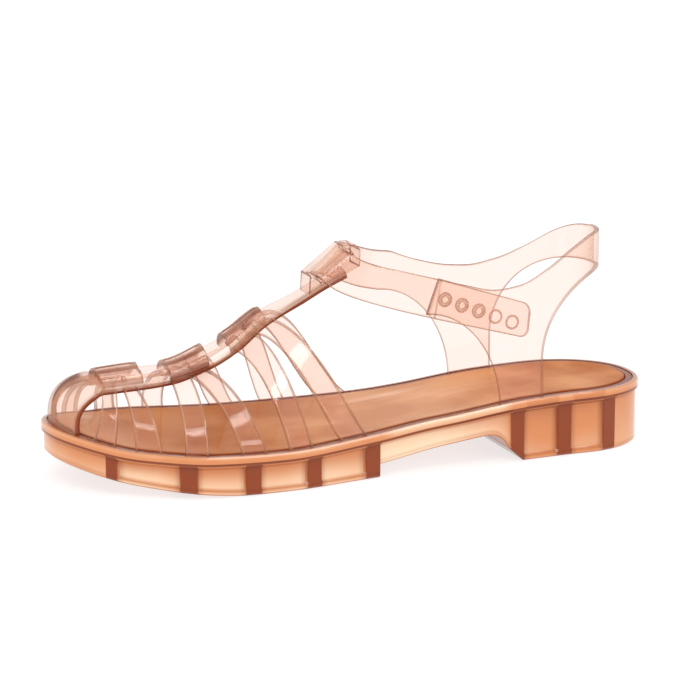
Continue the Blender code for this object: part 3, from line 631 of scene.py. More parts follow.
@dataclass
class Outsole:
    """Sole with its plate, ribbed front block, waist and heel block."""

    last: Last
    plate: float = 4 * MM
    plate_edge: float = 0.6 * MM
    lip: float = 1 * MM
    shank_inset: float = 1.2 * MM
    bottom_edge: float = 0.8 * MM
    rib_width: float = 5.8 * MM
    window_depth: float = 1.6 * MM
    window_flank: float = 1 * MM
    lintel: float = 0.6 * MM
    sill: float = 1.8 * MM
    step: float = 2.2 * MM
    heel_shade: float = 0.16
    heel_start: float = 0.7
    window_line: float = 0.3
    waist_shade: float = 0.34
    waist_lip: float = -0.16
    waist_blend: float = 8.0
    lip_lines: tuple = (0.64, 0.70, 0.84)
    end_steps: int = 16
    end_trim: float = 0.4
    sharp: float = 25.0
    front_ribs: tuple = (0.070, 0.177, 0.279, 0.382, 0.487)
    heel_ribs: tuple = (0.742, 0.828, 0.912)

    def stations(self) -> list[tuple[float, float, float, float]]:
        """Shares along the sole, each with its window depth, waist share and rib share.

        Returns:
            Rows from the toe to the heel.
        """
        last = self.last
        step = self.step / last.length
        flank = self.window_flank / last.length
        half = self.rib_width / last.length / 2
        tiny = 0.1 * MM / last.length
        bars = [(rib - half, rib + half) for rib in self.front_ribs]
        bars[0] = (bars[0][0] + half * self.end_trim, bars[0][1] - half * self.end_trim)
        bars[-1] = (bars[-1][0], last.block_end)
        heel = [(rib - half, rib + half) for rib in self.heel_ribs]
        rows = [(bars[0][0] * u * u, 0, 0, 0) for u in np.linspace(0, 1, self.end_steps)[:-1]]
        rows += [(bars[0][0] - tiny, 0, 0, 0)]
        for block in (bars, heel):
            for k, (front, back) in enumerate(block):
                rows += [(front, 0, 0, 1), (back, 0, 0, 1)]
                if k + 1 < len(block):
                    start, stop = back + flank, block[k + 1][0] - flank
                    count = math.ceil((stop - start) / step)
                    rows += [(t, 1, 0, 0) for t in np.linspace(start, stop, count + 1)]
                    rows[-count - 1] = (start, 1, 0, WINDOW_SIDE)
                    rows[-1] = (stop, 1, 0, WINDOW_SIDE)
            if block is bars:
                start, stop = last.block_end + tiny, heel[0][0] - tiny
                count = math.ceil((stop - start) / step)
                rows += [(t, 0, 1, 0) for t in np.linspace(start, stop, count + 1)]
        end = heel[-1][1]
        rows += [(1 - (1 - end - tiny) * u * u, 0, 0, 0) for u in np.linspace(1, 0, self.end_steps)]
        return sorted(rows)

    def paint(self, t: float, window: float, waist: float, rib: float, level: int) -> tuple[float, float]:
        """How dark and how deep one vertex of the wall looks, painted shade under the lip and in the window
        tops included.

        Args:
            t: share of the length.
            window: 1 inside a window.
            waist: 1 between the two blocks.
            rib: 1 on a rib, WINDOW_SIDE at the side of a window and 0 elsewhere.
            level: index of the wall's corner, from the tray down.

        Returns:
            Edge and depth values.
        """
        kind = "window" if window else "waist" if waist else "rib" if rib else "end"
        row = WALL_PAINT[level]
        deep = row[2 + ("window", "waist", "rib", "end").index(kind)]
        if kind == "waist":
            near = (t - self.last.block_end) / (self.last.heel_start - self.last.block_end)
            blend = min(1.0, self.waist_blend * near, self.waist_blend * (1 - near))
            if level in LIP_ROWS:
                return row[1], deep + self.waist_lip * blend
            return row[1], deep + self.waist_shade * max(0.0, near) ** 2
        if kind != "window":
            return row[1], deep
        line = self.window_line if rib and level >= FIRST_POCKET_ROW else 0.0
        return row[1] + line, deep + (self.heel_shade if t > self.heel_start else 0.0)

    def build(self, material: bpy.types.Material) -> bpy.types.Object:
        """Make the sole.

        Args:
            material: of the whole sole.

        Returns:
            The sole.
        """
        last = self.last
        stations = self.stations()
        turns = np.arccos(np.clip(1 - 2 * np.array([row[0] for row in stations]), -1, 1))
        points, edge, depth = [], [], []
        orders = ((1, range(len(stations))), (-1, range(len(stations) - 2, 0, -1)))
        for side, order in orders:
            for i in order:
                t, window, waist, rib = stations[i]
                top = float(last.footbed(t))
                under, bottom = top - self.plate, last.bottom(t)
                face = self.lip + self.shank_inset * waist
                pocket = face + self.window_depth * window
                levels = (
                    (last.welt, top - last.tray_depth),
                    (last.welt, top),
                    (self.plate_edge, top),
                    (0.0, top - self.plate_edge),
                    *((0.0, top - self.plate * share) for share in self.lip_lines),
                    (0.0, under),
                    (face, under),
                    (face, under - self.lintel),
                    (pocket, under - self.lintel - self.window_flank),
                    (pocket, bottom + self.sill + self.window_flank),
                    (face, bottom + self.sill),
                    (face, bottom + self.bottom_edge),
                    (face + self.bottom_edge, bottom),
                )
                flat = last.inset(np.full(len(levels), side * turns[i]), np.array([row[0] for row in levels]))
                points += [(x, y, level[1]) for (x, y), level in zip(flat, levels)]
                for k in range(len(levels)):
                    dark, deep = self.paint(t, window, waist, rib, k)
                    edge.append(dark)
                    depth.append(deep)
        tall = len(WALL_PAINT)
        skin = Skin()
        skin.add(np.array(points), plate_faces(len(points) // tall, tall), np.array(edge), np.array(depth))
        return skin.build("sole", material, self.sharp)


@dataclass
class Footbed:
    """Glossy inlay inside the rim, a little dished across."""

    last: Last
    rise: float = 0.3 * MM
    dish: float = 0.8 * MM
    edge_radius: float = 0.6 * MM
    slope: float = 0.04
    bed: float = 0.12
    fall: float = 0.86
    depth: float = 0.5
    steps: int = 90
    sharp: float = 30.0
    dark: tuple = (0, 0, 0, 0, 0.3, 0.8, 1.0, 1.0)

    def build(self, material: bpy.types.Material) -> bpy.types.Object:
        """Make the inlay.

        Args:
            material: of the inlay.

        Returns:
            The inlay.
        """
        last = self.last
        rim = last.welt + 2 * last.gap + last.rim_width
        t = (1 - np.cos(np.pi * np.arange(self.steps + 1) / self.steps)) / 2
        wide = last.ball_width
        r = self.edge_radius
        levels = (
            (rim + wide * self.bed, self.rise - self.dish),
            (rim + wide * (self.bed + self.slope) / 2, self.rise - self.dish * self.fall),
            (rim + wide * self.slope, self.rise - self.dish / 2),
            (rim + wide * self.slope / 2, self.rise - self.dish * (1 - self.fall)),
            (rim + r, self.rise),
            (rim + r * CORNER, self.rise - r * CORNER),
            (rim, self.rise - r),
            (rim, last.gap - last.tray_depth),
        )
        turns = np.arccos(1 - 2 * t)
        turns = np.concatenate((turns, -turns[-2:0:-1]))
        top = last.footbed((1 - np.cos(turns)) / 2)
        grid = [np.column_stack((last.inset(turns, np.full(len(turns), i)), top + z)) for i, z in levels]
        points = np.stack(grid, 1)
        count, tall = points.shape[:2]
        skin = Skin()
        skin.add(points.reshape(-1, 3), plate_faces(count, tall), np.tile(self.dark, count), self.depth)
        return skin.build("footbed", material, self.sharp)


@dataclass
class Rim:
    """Welded rim in the channel of the sole, a band of four soft corners."""

    last: Last
    drop: float = 0.2 * MM
    edge_radius: float = 0.35 * MM
    depth: float = 1.3

    def add_to(self, skin: Skin, turns: np.ndarray) -> None:
        """Add the rim between the given turns to a piece.

        Args:
            skin: the piece.
            turns: steps round the outline.
        """
        last = self.last
        start, width = last.welt + last.gap, last.rim_width
        steps = np.linspace(0, 1, len(turns))

        def point(u: np.ndarray, v: np.ndarray) -> np.ndarray:
            """Points of the rim's top."""
            turn = np.interp(u, steps, turns) + np.zeros_like(v)
            plan = last.inset(turn, start + width * v)
            height = last.footbed((1 - np.cos(turn)) / 2) - self.drop
            return np.concatenate((plan, height[..., None]), -1)

        wall = last.tray_depth - self.drop - last.gap
        skin.slab(point, steps, wall, self.depth, self.edge_radius, inside=(1.0, 0.0, -1.0), middle=(0.5,))


@dataclass
class Upper:
    """Toe cap, twelve straps, centre bar, three ribbed blocks, keeper and rim in one moulding."""

    last: Last
    cage: Cage
    strap_wall: float = 2.2 * MM
    cap_wall: float = 2 * MM
    bar_wall: float = 3.4 * MM
    bar_rise: float = 0.6 * MM
    block_rise: float = 2.2 * MM
    block_sink: float = 1.5 * MM
    groove: float = 1.2 * MM
    bar_end: float = -3.5 * MM
    leg_front: float = 54.6 * MM
    sink: float = 0.6
    straps: tuple = (
        (0.052, 0.080, 0.080, 0.104, 1.2, 0.000),
        (0.107, 0.143, 0.114, 0.137, 1.2, 0.012),
        (0.175, 0.210, 0.193, 0.224, 1.2, 0.028),
        (0.264, 0.305, 0.222, 0.248, 1.2, 0.052),
        (0.342, 0.382, 0.296, 0.325, 1.3, 0.058),
        (0.434, 0.481, 0.323, 0.352, 1.1, 0.062),
    )
    blocks: tuple = ((0.080, 0.146, 0.90), (0.190, 0.254, 0.95), (0.290, 0.350, 0.98))
    hem: tuple = (0.034, 0.073, 3.0, 0.62)
    soft: float = 0.9 * MM
    margin: float = 0.03
    rim_steps: int = 220
    cap_reach: float = 0.006
    cap_power: float = 1.7
    cap_blend: float = 0.12
    cap_ease: float = 0.35
    cap_end: float = 0.985
    cap_steps: int = 44
    cap_columns: int = 72
    cap_depth: float = 0.32
    cap_side: float = 1.2
    cap_fade: tuple = (0.08, 0.12, 0.12)
    strap_reach: float = 0.06
    strap_radius: float = 0.55 * MM
    strap_steps: int = 34
    bar_steps: int = 60
    bar_side: float = 1.5
    bar_sides: tuple = (0.15, 1.0)
    bar_upper: float = 0.5
    ridges: int = 3
    block_columns: int = 49
    block_depth: float = 0.02
    end_round: float = 0.03
    end_drop: float = 0.5 * MM
    # painted shade: how dark the dipped ends and the cross mark are painted
    end_painted_shade: float = 0.75
    mark_half: float = 0.02
    mark_drop: float = 0.25 * MM
    mark_painted_shade: float = 0.5
    # painted shade: how dark the grooves between the ridges are painted
    line_gain: float = 1.6

    def add_cap(self, skin: Skin) -> None:
        """Add the toe cap, from hem to hem over the front."""
        foot, top, bend, turn = self.hem
        reach = self.cage.dome_at + self.cap_reach

        def point(u: np.ndarray, v: np.ndarray) -> np.ndarray:
            """Points of the cap, u upward and v from the outer hem to the inner."""
            rise = u + np.zeros_like(v)
            hem = foot + (top - foot) * np.minimum(1.0, rise / turn) ** bend
            past = np.clip((rise - turn) / self.cap_blend, 0, 1)
            hem = np.where(rise > turn, top + (reach - top) * past, hem)
            share = 2 * v - 1
            t = hem * np.abs(share) ** self.cap_power
            sides = [self.cage.face(s, t, rise) for s in (1, -1)]
            grid = np.where((share < 0)[..., None], sides[0], sides[1])
            grid[..., 2] -= np.where(rise < TINY, self.last.tray_depth * self.sink, 0.0)
            return grid

        even = np.linspace(0, 1, self.cap_steps)
        eased = (1 - np.cos(np.pi * even)) / 2
        us = self.cap_end * (self.cap_ease * eased + (1 - self.cap_ease) * even)
        start, length, least = self.cap_fade
        skin.slab(
            point,
            us,
            self.cap_wall,
            self.cap_depth,
            self.soft,
            middle=tuple(np.linspace(self.margin, 1 - self.margin, self.cap_columns)),
            side_depth=self.cap_side,
            strength=np.clip((turn + start - us) / length, least, 1),
        )

    def add_strap(self, skin: Skin, row: tuple[float, ...], side: int) -> None:
        """Add one strap from its foot in the rim to its head inside the centre bar.

        Args:
            skin: the piece.
            row: foot's and head's front and back, the bend, and the shift of an inner foot.
            side: 1 outer, -1 inner.
        """
        foot_front, foot_back, bar_front, bar_back, bend, inner = row
        shift = inner if side < 0 else 0.0

        def point(u: np.ndarray, v: np.ndarray) -> np.ndarray:
            """Points of the strap, u upward and v backward."""
            foot = foot_front + (foot_back - foot_front) * v + shift
            head = bar_front + (bar_back - bar_front) * v
            rise = u * (self.cage.bar_rise(side, head) + self.strap_reach)
            t = foot + (head - foot) * u**bend
            grid = self.cage.face(side, t, rise, self.cage.side_height(side, t))
            grid[..., 2] -= np.where(u + 0 * v < TINY, self.last.tray_depth * self.sink, 0.0)
            return grid

        skin.slab(point, np.linspace(0, 1, self.strap_steps), self.strap_wall, 0.0, self.strap_radius)

    def add_bar(self, skin: Skin) -> None:
        """Add the centre bar along the crown line."""
        start, end = self.cage.dome_at, self.last.along(self.bar_end)

        def point(u: np.ndarray, v: np.ndarray) -> np.ndarray:
            """Points of the bar, u backward and v from the inner edge to the outer."""
            return self.cage.over_bar(start + (end - start) * u + 0 * v, 2 * v - 1)

        skin.slab(
            point,
            np.linspace(0, 1, self.bar_steps),
            self.bar_wall,
            0.0,
            self.soft,
            self.bar_rise,
            (self.margin, *np.linspace(0.1, 0.9, 9), 1 - self.margin),
            side_depth=self.bar_side,
            sides=self.bar_sides,
            upper=self.bar_upper,
        )

    def add_block(self, skin: Skin, row: tuple[float, float, float]) -> None:
        """Add one block of lengthwise ridges with a cross mark at its middle, with painted shade in its
        grooves, at its dipped ends and in the mark.

        Args:
            skin: the piece.
            row: the block's front and back, and its share of the bar's width.
        """
        front, back, reach = row
        half = np.array((0, self.end_round, *np.linspace(0.08, 0.46, 7), 0.5 - self.mark_half))
        along = np.concatenate((half, [0.5], 1 - half[::-1]))[:, None]
        across = np.linspace(-1, 1, self.block_columns)[None, :]
        t = front + (back - front) * along
        grid = self.cage.over_bar(t + 0 * across, across * reach)
        normal = unit(np.cross(np.gradient(grid, axis=0), np.gradient(grid, axis=1)))
        normal = np.where(normal[..., 2:] > 0, normal, -normal)
        hump = np.abs(np.sin(np.pi * (across + 1) / 2 * self.ridges))
        ends = np.clip(np.minimum(along, 1 - along) / self.end_round, 0, 1)
        mark = np.clip(1 - np.abs(along - 0.5) / self.mark_half, 0, 1)
        height = self.bar_rise + self.block_rise - self.groove * (1 - hump)
        height = height - self.end_drop * (1 - ends) - self.mark_drop * mark
        top = grid + normal * height[..., None]
        base = grid + normal * (self.bar_rise - self.block_sink)
        ring = np.concatenate((top, base[:, ::-1]), 1)
        rows, count = ring.shape[:2]
        # Painted shade: darker in the grooves between the ridges, at the dipped ends and in the cross mark
        dark = np.clip(self.line_gain * (1 - hump), 0, 1) + self.end_painted_shade * (1 - ends) + self.mark_painted_shade * mark
        dark = np.clip(dark, 0, 1) * np.ones((rows, 1))
        edge = np.concatenate((dark, np.zeros_like(dark)), 1)
        skin.add(ring.reshape(-1, 3), ring_faces(rows, count), edge.ravel(), self.block_depth)

    def build(self, keeper: Keeper, material: bpy.types.Material) -> bpy.types.Object:
        """Make the whole moulding.

        Args:
            keeper: the loop at the top of the bar.
            material: of the upper.

        Returns:
            The upper.
        """
        skin = Skin()
        reach = math.acos(1 - 2 * self.last.along(self.leg_front)) - self.last.gap / self.last.length
        Rim(self.last).add_to(skin, np.linspace(-reach, reach, self.rim_steps))
        self.add_cap(skin)
        for row in self.straps:
            for side in Side:
                self.add_strap(skin, row, side.value)
        self.add_bar(skin)
        for row in self.blocks:
            self.add_block(skin, row)
        keeper.add_to(skin)
        return skin.build("upper_moulding", material)


@dataclass
class Keeper:
    """Loop at the top of the centre bar that the ankle strap runs through."""

    cage: Cage
    width: float = 11.6 * MM
    plate: float = 2.2 * MM
    post: float = 1.8 * MM
    front: float = -19 * MM
    height: float = 6.4 * MM
    slope: float = math.radians(38.0)
    clearance: float = 0.7 * MM
    band_wall: float = 2 * MM
    band_width: float = 16 * MM
    bar_wall: float = 3.4 * MM
    toe_back: float = 0.2
    sink: float = 0.4
    soft: float = 0.45 * MM
    soft_steps: int = 3
    looks: tuple = (0.95, 0.03, 0.16)
    back: tuple = ((0.88, 0.0), (1.08, 1.4), (1.09, 2.8), (0.98, 4.0))

    def frame(self) -> tuple[np.ndarray, np.ndarray, np.ndarray]:
        """Front top corner, direction along the slope and upward normal."""
        last = self.cage.last
        run = np.array((math.cos(self.slope), 0.0, math.sin(self.slope)))
        up = np.array((-run[2], 0.0, run[0]))
        top = float(self.cage.top(last.along(self.front)))
        corner = np.array((self.front, last.ball_width * self.cage.crown_side, top + self.height))
        return corner, run, up

    def slot_middle(self) -> np.ndarray:
        """Middle of the slot, where the strap runs through."""
        corner, run, up = self.frame()
        down = self.plate + self.clearance + self.band_wall / 2
        return corner + run * (self.post + self.clearance + self.band_width / 2) - up * down

    def prism(self, name: str, profile: list[np.ndarray], width: float) -> bpy.types.Object:
        """Make a solid from a side profile, centred on the crown line.

        Args:
            name: of the object.
            profile: corners of the side.
            width: of the solid.

        Returns:
            The solid.
        """
        middle = self.cage.last.ball_width * self.cage.crown_side
        count = len(profile)
        points = [(p[0], middle + s * width / 2, p[2]) for s in (-1, 1) for p in profile]
        faces = [tuple(range(count)), tuple(range(count, 2 * count))]
        faces += [(i, (i + 1) % count, count + (i + 1) % count, count + i) for i in range(count)]
        mesh = bpy.data.meshes.new(name)
        mesh.from_pydata(points, [], faces)
        face_outward(mesh)
        return add_object(name, mesh)

    def add_to(self, skin: Skin) -> None:
        """Add the loop with its slot to a piece."""
        corner, run, up = self.frame()
        length = 2 * self.post + 2 * self.clearance + self.band_width
        last = self.cage.last
        back = [corner + run * length * share - up * self.plate * drop for share, drop in self.back]
        under = float(self.cage.top(last.along(back[-1][0]))) - self.bar_wall * self.sink
        back[-1][2] = min(back[-1][2], under)
        toe = corner - run * self.plate * self.toe_back
        toe[2] = float(self.cage.top(last.along(toe[0]))) - self.bar_wall * self.sink
        body = self.prism("loop", [corner] + back + [toe], self.width)
        middle = self.slot_middle()
        along, tall = self.band_width / 2 + self.clearance, self.band_wall / 2 + self.clearance
        ring = ((-along, -tall), (along, -tall), (along, tall), (-along, tall))
        slot = self.prism("slot", [middle + run * a + up * b for a, b in ring], self.width * 2)
        cut = body.modifiers.new("slot", "BOOLEAN")
        cut.operation = "DIFFERENCE"
        cut.solver = "EXACT"
        cut.object = slot
        soft = body.modifiers.new("soft", "BEVEL")
        soft.width = self.soft
        soft.segments = self.soft_steps
        soft.limit_method = "ANGLE"
        skin.absorb(body, *self.looks)
        bpy.data.objects.remove(slot)


@dataclass
class AnkleStrap:
    """Two legs, heel band and the strap through the keeper, buttoned on the outer side."""

    last: Last
    keeper: Keeper
    wall: float = 2 * MM
    width: float = 16 * MM
    collar_height: float = 90 * MM
    collar_back: float = 109.5 * MM
    quarter_out: float = 27.2 * MM
    leg_spread: float = 19.4 * MM
    leg_front: float = 54.6 * MM
    flap_top: float = 28.5 * MM
    flap_foot: float = 23 * MM
    flap_low: float = 63 * MM
    leg_top: float = 58.5 * MM
    leg_turn: float = 2 * MM
    rear_top: float = 71.5 * MM
    rear_low: float = 74.2 * MM
    rear_straight: float = 40 * MM
    quarter_back: float = 70 * MM
    quarter_power: float = 2.1
    lean_power: float = 1.5
    back_crowd: float = 1.5
    hole_pitch: float = 7.6 * MM
    hole_radius: float = 2.6 * MM
    peg_radius: float = 1.9 * MM
    holes: int = 5
    pegs: int = 3
    tab_corner: float = 3.5 * MM
    tab_taper: float = 0.88
    ease_rows: int = 20
    turn_row: int = 55
    turn_rows: float = 4.0
    # painted shade: extra depth where the strap runs under the keeper
    turn_painted_shade: float = 0.5
    band_depth: float = 0.01
    tab_depth: float = 0.02
    soft: float = 0.5 * MM
    tab_soft: float = 0.45 * MM
    sink: float = 0.6
    tab_gaps: float = 1.4
    first_hole: float = 3 * MM
    hole_rise: float = 0.7 * MM
    hole_fall: float = 2.7 * MM
    flap_steps: int = 34
    leg_steps: int = 12
    back_steps: int = 44
    rim_steps: int = 170
    path_steps: int = 10
    tab_steps: int = 26
    corner_steps: int = 9
    corner_start: float = 0.12
    round_steps: int = 40
    columns: tuple = (0.08, 0.92, 15)
    hole_rings: tuple = ((0.45, -0.2, 0.8), (0.2, 0.3, 0.35), (-0.2, 0.3, 0.35), (-0.45, -0.2, 0.8))
    hole_depth: float = 0.15
    peg_rings: tuple = ((0.0, -0.4, 0.7), (-0.15, 0.55, 0.3), (-0.45, 0.7, 0.3), (-0.6, -0.4, 0.6))
    peg_depth: float = 0.1
    collar: tuple = (
        (0.610, 0.862, 0.882),
        (0.655, 0.823, 0.835),
        (0.712, 0.790, 0.798),
        (0.752, 0.804, 0.790),
        (0.800, 0.868, 0.812),
        (0.850, 0.950, 0.872),
        (0.893, 0.994, 0.952),
        (0.915, 1.000, 0.985),
        (0.932, 1.000, 1.000),
    )
    inner_path: tuple = (
        (0.562, 0.86, 0.816, 24.0),
        (0.520, 0.62, 0.862, 32.0),
        (0.482, 0.36, 0.905, 40.0),
    )
    outer_path: tuple = (
        (0.484, -0.38, 0.866, 42.0),
        (0.512, -0.62, 0.836, 36.0),
        (0.556, -0.88, 0.805, 22.0),
    )
    tab_start: tuple = (0.606, -1.0, 0.772, 12.0)
    tab_end: tuple = (0.762, -1.0, 0.642, 7.0)

    def sheet(self, side: int, x: np.ndarray, z: np.ndarray, outside: float = 0.0) -> np.ndarray:
        """Points of the quarter's middle face.

        Args:
            side: -1 for the outer quarter and 1 for the inner.
            x: places along the foot.
            z: heights.
            outside: distance outside the face.

        Returns:
            Points.
        """
        last = self.last
        rear = self.collar_back - self.wall / 2
        back = np.maximum(0.0, x - self.quarter_back) / (rear - self.quarter_back)
        close = np.maximum(0.0, 1 - back**self.quarter_power) ** (1 / self.quarter_power)
        middle = last.welt + last.gap + last.rim_width / 2
        at = np.clip(x, self.leg_front, self.leg_front + self.leg_spread)
        foot, _ = last.feather(-side, at, middle)
        base = last.footbed(last.along(foot[..., 0]))
        low = np.clip(1 - (z - base) / (self.collar_height - base), 0, 1)
        reach = self.quarter_out + (np.abs(foot[..., 1]) - self.quarter_out) * low**self.lean_power
        return np.stack((x, side * (reach + outside) * close, z), -1)

    def lower_edge(self) -> np.ndarray:
        """Corners of the quarter's lower edge: flap, leg and heel band.

        Returns:
            Rows of x, z and the place of the collar above.
        """
        last = self.last
        sink = last.tray_depth * self.sink
        base = float(last.footbed(last.along(self.leg_front))) - sink
        rear = self.leg_front + self.leg_spread
        back = self.collar_back - self.wall / 2
        corners = []
        for part in np.linspace(0, 1, self.flap_steps):
            x = self.flap_foot + (self.leg_front - self.flap_foot) * math.sin(math.pi / 2 * part)
            z = base + (self.flap_low - base) * math.cos(math.pi / 2 * part)
            corners.append((x, z, self.flap_top + (self.leg_top - self.flap_top) * part))
        middle = (self.leg_top + self.rear_top) / 2
        tops = Curve((0.0, 0.5, 1.0), (self.leg_top, middle, self.rear_top - self.leg_turn))
        for part in np.linspace(0, 1, self.leg_steps)[1:]:
            x = self.leg_front + self.leg_spread * part
            corners.append((x, float(last.footbed(last.along(x))) - sink, float(tops.at(part))))
        for step in np.linspace(0, 1, self.back_steps):
            part = 1 - (1 - step) ** self.back_crowd
            x = back - (back - rear) * math.cos(math.pi / 2 * part)
            z = self.rear_straight + (self.rear_low - self.rear_straight) * math.sin(math.pi / 2 * part)
            corners.append((x, z, self.rear_top + (back - self.rear_top) * part))
        return np.array(corners)

    def quarter(self, side: int) -> np.ndarray:
        """Ends of the quarter's columns, from the flap to the heel's back.

        Args:
            side: -1 for the outer quarter and 1 for the inner.

        Returns:
            Rows of the low x and z and the high x and z.
        """
        edge = self.lower_edge()
        curve = columns_of(self.collar)[0 if side < 0 else 1]
        top = self.collar_height * curve.at(self.last.along(edge[:, 2]))
        return np.column_stack((edge[:, :2], edge[:, 2], top))

    def middle_of(self, row: tuple[float, float, float, float]) -> np.ndarray:
        """Middle and lean of one row of the strap's path."""
        along, out, height, lean = row
        x = self.last.place(along)
        return np.array((x, out * self.quarter_out, height * self.collar_height, math.radians(lean)))

    def grid(self) -> tuple[np.ndarray, np.ndarray]:
        """Edge points of both quarters' columns, in the order that the strap runs.

        Returns:
            Low and high points, each as side, x and z.
        """
        low, high = [], []
        for side, order in ((-1, 1), (1, -1)):
            rows = self.quarter(side)[::order]
            for x0, z0, x1, z1 in rows if side < 0 else rows[1:]:
                low.append((side, x0, z0))
                high.append((side, x1, z1))
        return np.array(low), np.array(high)

    def band_path(self) -> list[np.ndarray]:
        """Path of the free strap, from the inner flap to the tab.

        Returns:
            Its middles, each with its lean.
        """
        inner = self.quarter(1)[0]
        ends = [self.sheet(1, np.array(inner[i]), np.array(inner[i + 1])) for i in (0, 2)]
        first = np.append((ends[0] + ends[1]) / 2, math.atan2(inner[2] - inner[0], inner[3] - inner[1]))
        slot = np.append(self.keeper.slot_middle(), math.pi / 2 - self.keeper.slope)
        path = [first] + [self.middle_of(row) for row in self.inner_path]
        path += [slot + np.array((0, s * self.keeper.width / 2, 0, 0)) for s in (1, 0, -1)]
        path += [self.middle_of(row) for row in self.outer_path]
        start = self.middle_of(self.tab_start)
        tab = self.sheet(-1, np.array(start[0]), np.array(start[2]), self.tab_outside())
        path.append(np.append(tab, start[3]))
        return path

    def tab_outside(self) -> float:
        """How far the tab lies outside the quarter."""
        return self.wall + self.last.gap * self.tab_gaps

    def smooth(self, points: list[np.ndarray], steps: int) -> list[np.ndarray]:
        """Points of a smooth curve through the given ones.

        Args:
            points: the given ones.
            steps: how many points from one of them to the next.

        Returns:
            The curve's points.
        """
        ends = [2 * points[0] - points[1]] + points + [2 * points[-1] - points[-2]]
        made = []
        for i in range(1, len(ends) - 2):
            a, b, c, d = ends[i - 1 : i + 3]
            for u in np.arange(steps) / steps:
                square = 2 * a - 5 * b + 4 * c - d
                cube = 3 * b - a - 3 * c + d
                made.append((2 * b + (c - a) * u + square * u**2 + cube * u**3) / 2)
        return made + [points[-1]]

    def hole_middles(self) -> list[np.ndarray]:
        """Middles of the tab's holes, from its start to its end.

        Returns:
            Middles, each with its lean.
        """
        start, end = self.middle_of(self.tab_start), self.middle_of(self.tab_end)
        reach = np.linalg.norm(end[:3] - start[:3])
        made = []
        for i in range(self.holes):
            middle = start + (end - start) * (self.first_hole + self.hole_pitch * i) / reach
            middle[2] += self.hole_rise - self.hole_fall * i / (self.holes - 1)
            made.append(middle)
        return made

    def disc(self, skin: Skin, middle: np.ndarray, radius: float, rows: tuple, depth: float) -> None:
        """Add a turned form square to the tab.

        Args:
            skin: the piece.
            middle: of the form on the tab.
            radius: of the form.
            rows: its rings, each with the millimetres past the radius, those past the tab's face, and
                how dark it is.
            depth: how much plastic the eye meets.
        """
        face = self.tab_outside() + self.wall / 2
        angle = np.linspace(0, 2 * math.pi, self.round_steps, endpoint=False)
        rings = []
        for wider, rise, _ in rows:
            x = middle[0] + (radius + wider * MM) * np.cos(angle)
            z = middle[2] + (radius + wider * MM) * np.sin(angle)
            rings.append(self.sheet(-1, x, z, face + rise * MM))
        edge = np.repeat([row[2] for row in rows], self.round_steps)
        faces = ring_faces(len(rows), self.round_steps, closed=True)
        skin.add(np.concatenate(rings), faces, edge, depth)

    def build(self, material: bpy.types.Material) -> bpy.types.Object:
        """Make the whole strap.

        Args:
            material: of the strap.

        Returns:
            The strap.
        """
        skin = Skin()
        reach = math.acos(1 - 2 * self.last.along(self.leg_front))
        Rim(self.last).add_to(skin, np.linspace(reach, 2 * math.pi - reach, self.rim_steps))
        low, high = self.grid()
        path = np.array(self.smooth(self.band_path(), self.path_steps))[1:]
        total = len(low) + len(path)
        flap = np.linalg.norm(high[-1, 1:] - low[-1, 1:])

        def around(u: np.ndarray, v: np.ndarray) -> np.ndarray:
            """Points of both quarters and then of the free strap, v upward."""
            index = np.rint(u * (total - 1)).astype(int)
            here = np.minimum(index, len(low) - 1)
            side, x0, z0 = (low[here, i] for i in range(3))
            x = x0 + (high[here, 1] - x0) * v
            z = z0 + (high[here, 2] - z0) * v
            both = [self.sheet(s, x, z) for s in (-1, 1)]
            quarter = np.where((side + 0 * v < 0)[..., None], both[0], both[1])
            there = np.maximum(index - len(low), 0)
            rows = [path[there, i] + 0 * v for i in range(4)]
            ease = np.clip(1 - there / self.ease_rows, 0, 1)
            lift = (self.width + (flap - self.width) * ease) * (v - 0.5)
            x, z = rows[0] + np.sin(rows[3]) * lift, rows[2] + np.cos(rows[3]) * lift
            free = np.stack((x, rows[1], z), -1)
            return np.where((index + 0 * v < len(low))[..., None], quarter, free)

        steps = np.arange(total) / (total - 1)
        # Painted shade: the strap is painted deeper around turn_row, where it runs under the keeper
        turned = (np.arange(total) - len(low) - self.turn_row) / self.turn_rows
        skin.slab(
            around,
            steps,
            self.wall,
            self.band_depth + self.turn_painted_shade * np.exp(-(turned**2)),
            self.soft,
            self.wall / 2,
            middle=tuple(np.linspace(*self.columns)),
            inside=(0.6, 0.0, 60 * MM),
            end_edge=(1.0, 0.0),
        )
        start, end = self.middle_of(self.tab_start), self.middle_of(self.tab_end)
        run = end - start
        length = np.linalg.norm(run[:3])

        def tab(u: np.ndarray, v: np.ndarray) -> np.ndarray:
            """Points of the tab, u toward its free end and v upward."""
            mark = u * length
            cut = np.clip(1 - (length - mark) / self.tab_corner, 0, 1)
            half = self.width / 2 * (1 - (1 - self.tab_taper) * u)
            half = half - self.tab_corner * (1 - np.sqrt(np.maximum(0.0, 1 - cut**2)))
            rows = [start[i] + run[i] * u + 0 * v for i in range(4)]
            lift = half * (2 * v - 1)
            x, z = rows[0] + np.sin(rows[3]) * lift, rows[2] + np.cos(rows[3]) * lift
            return self.sheet(-1, x, z, self.tab_outside())

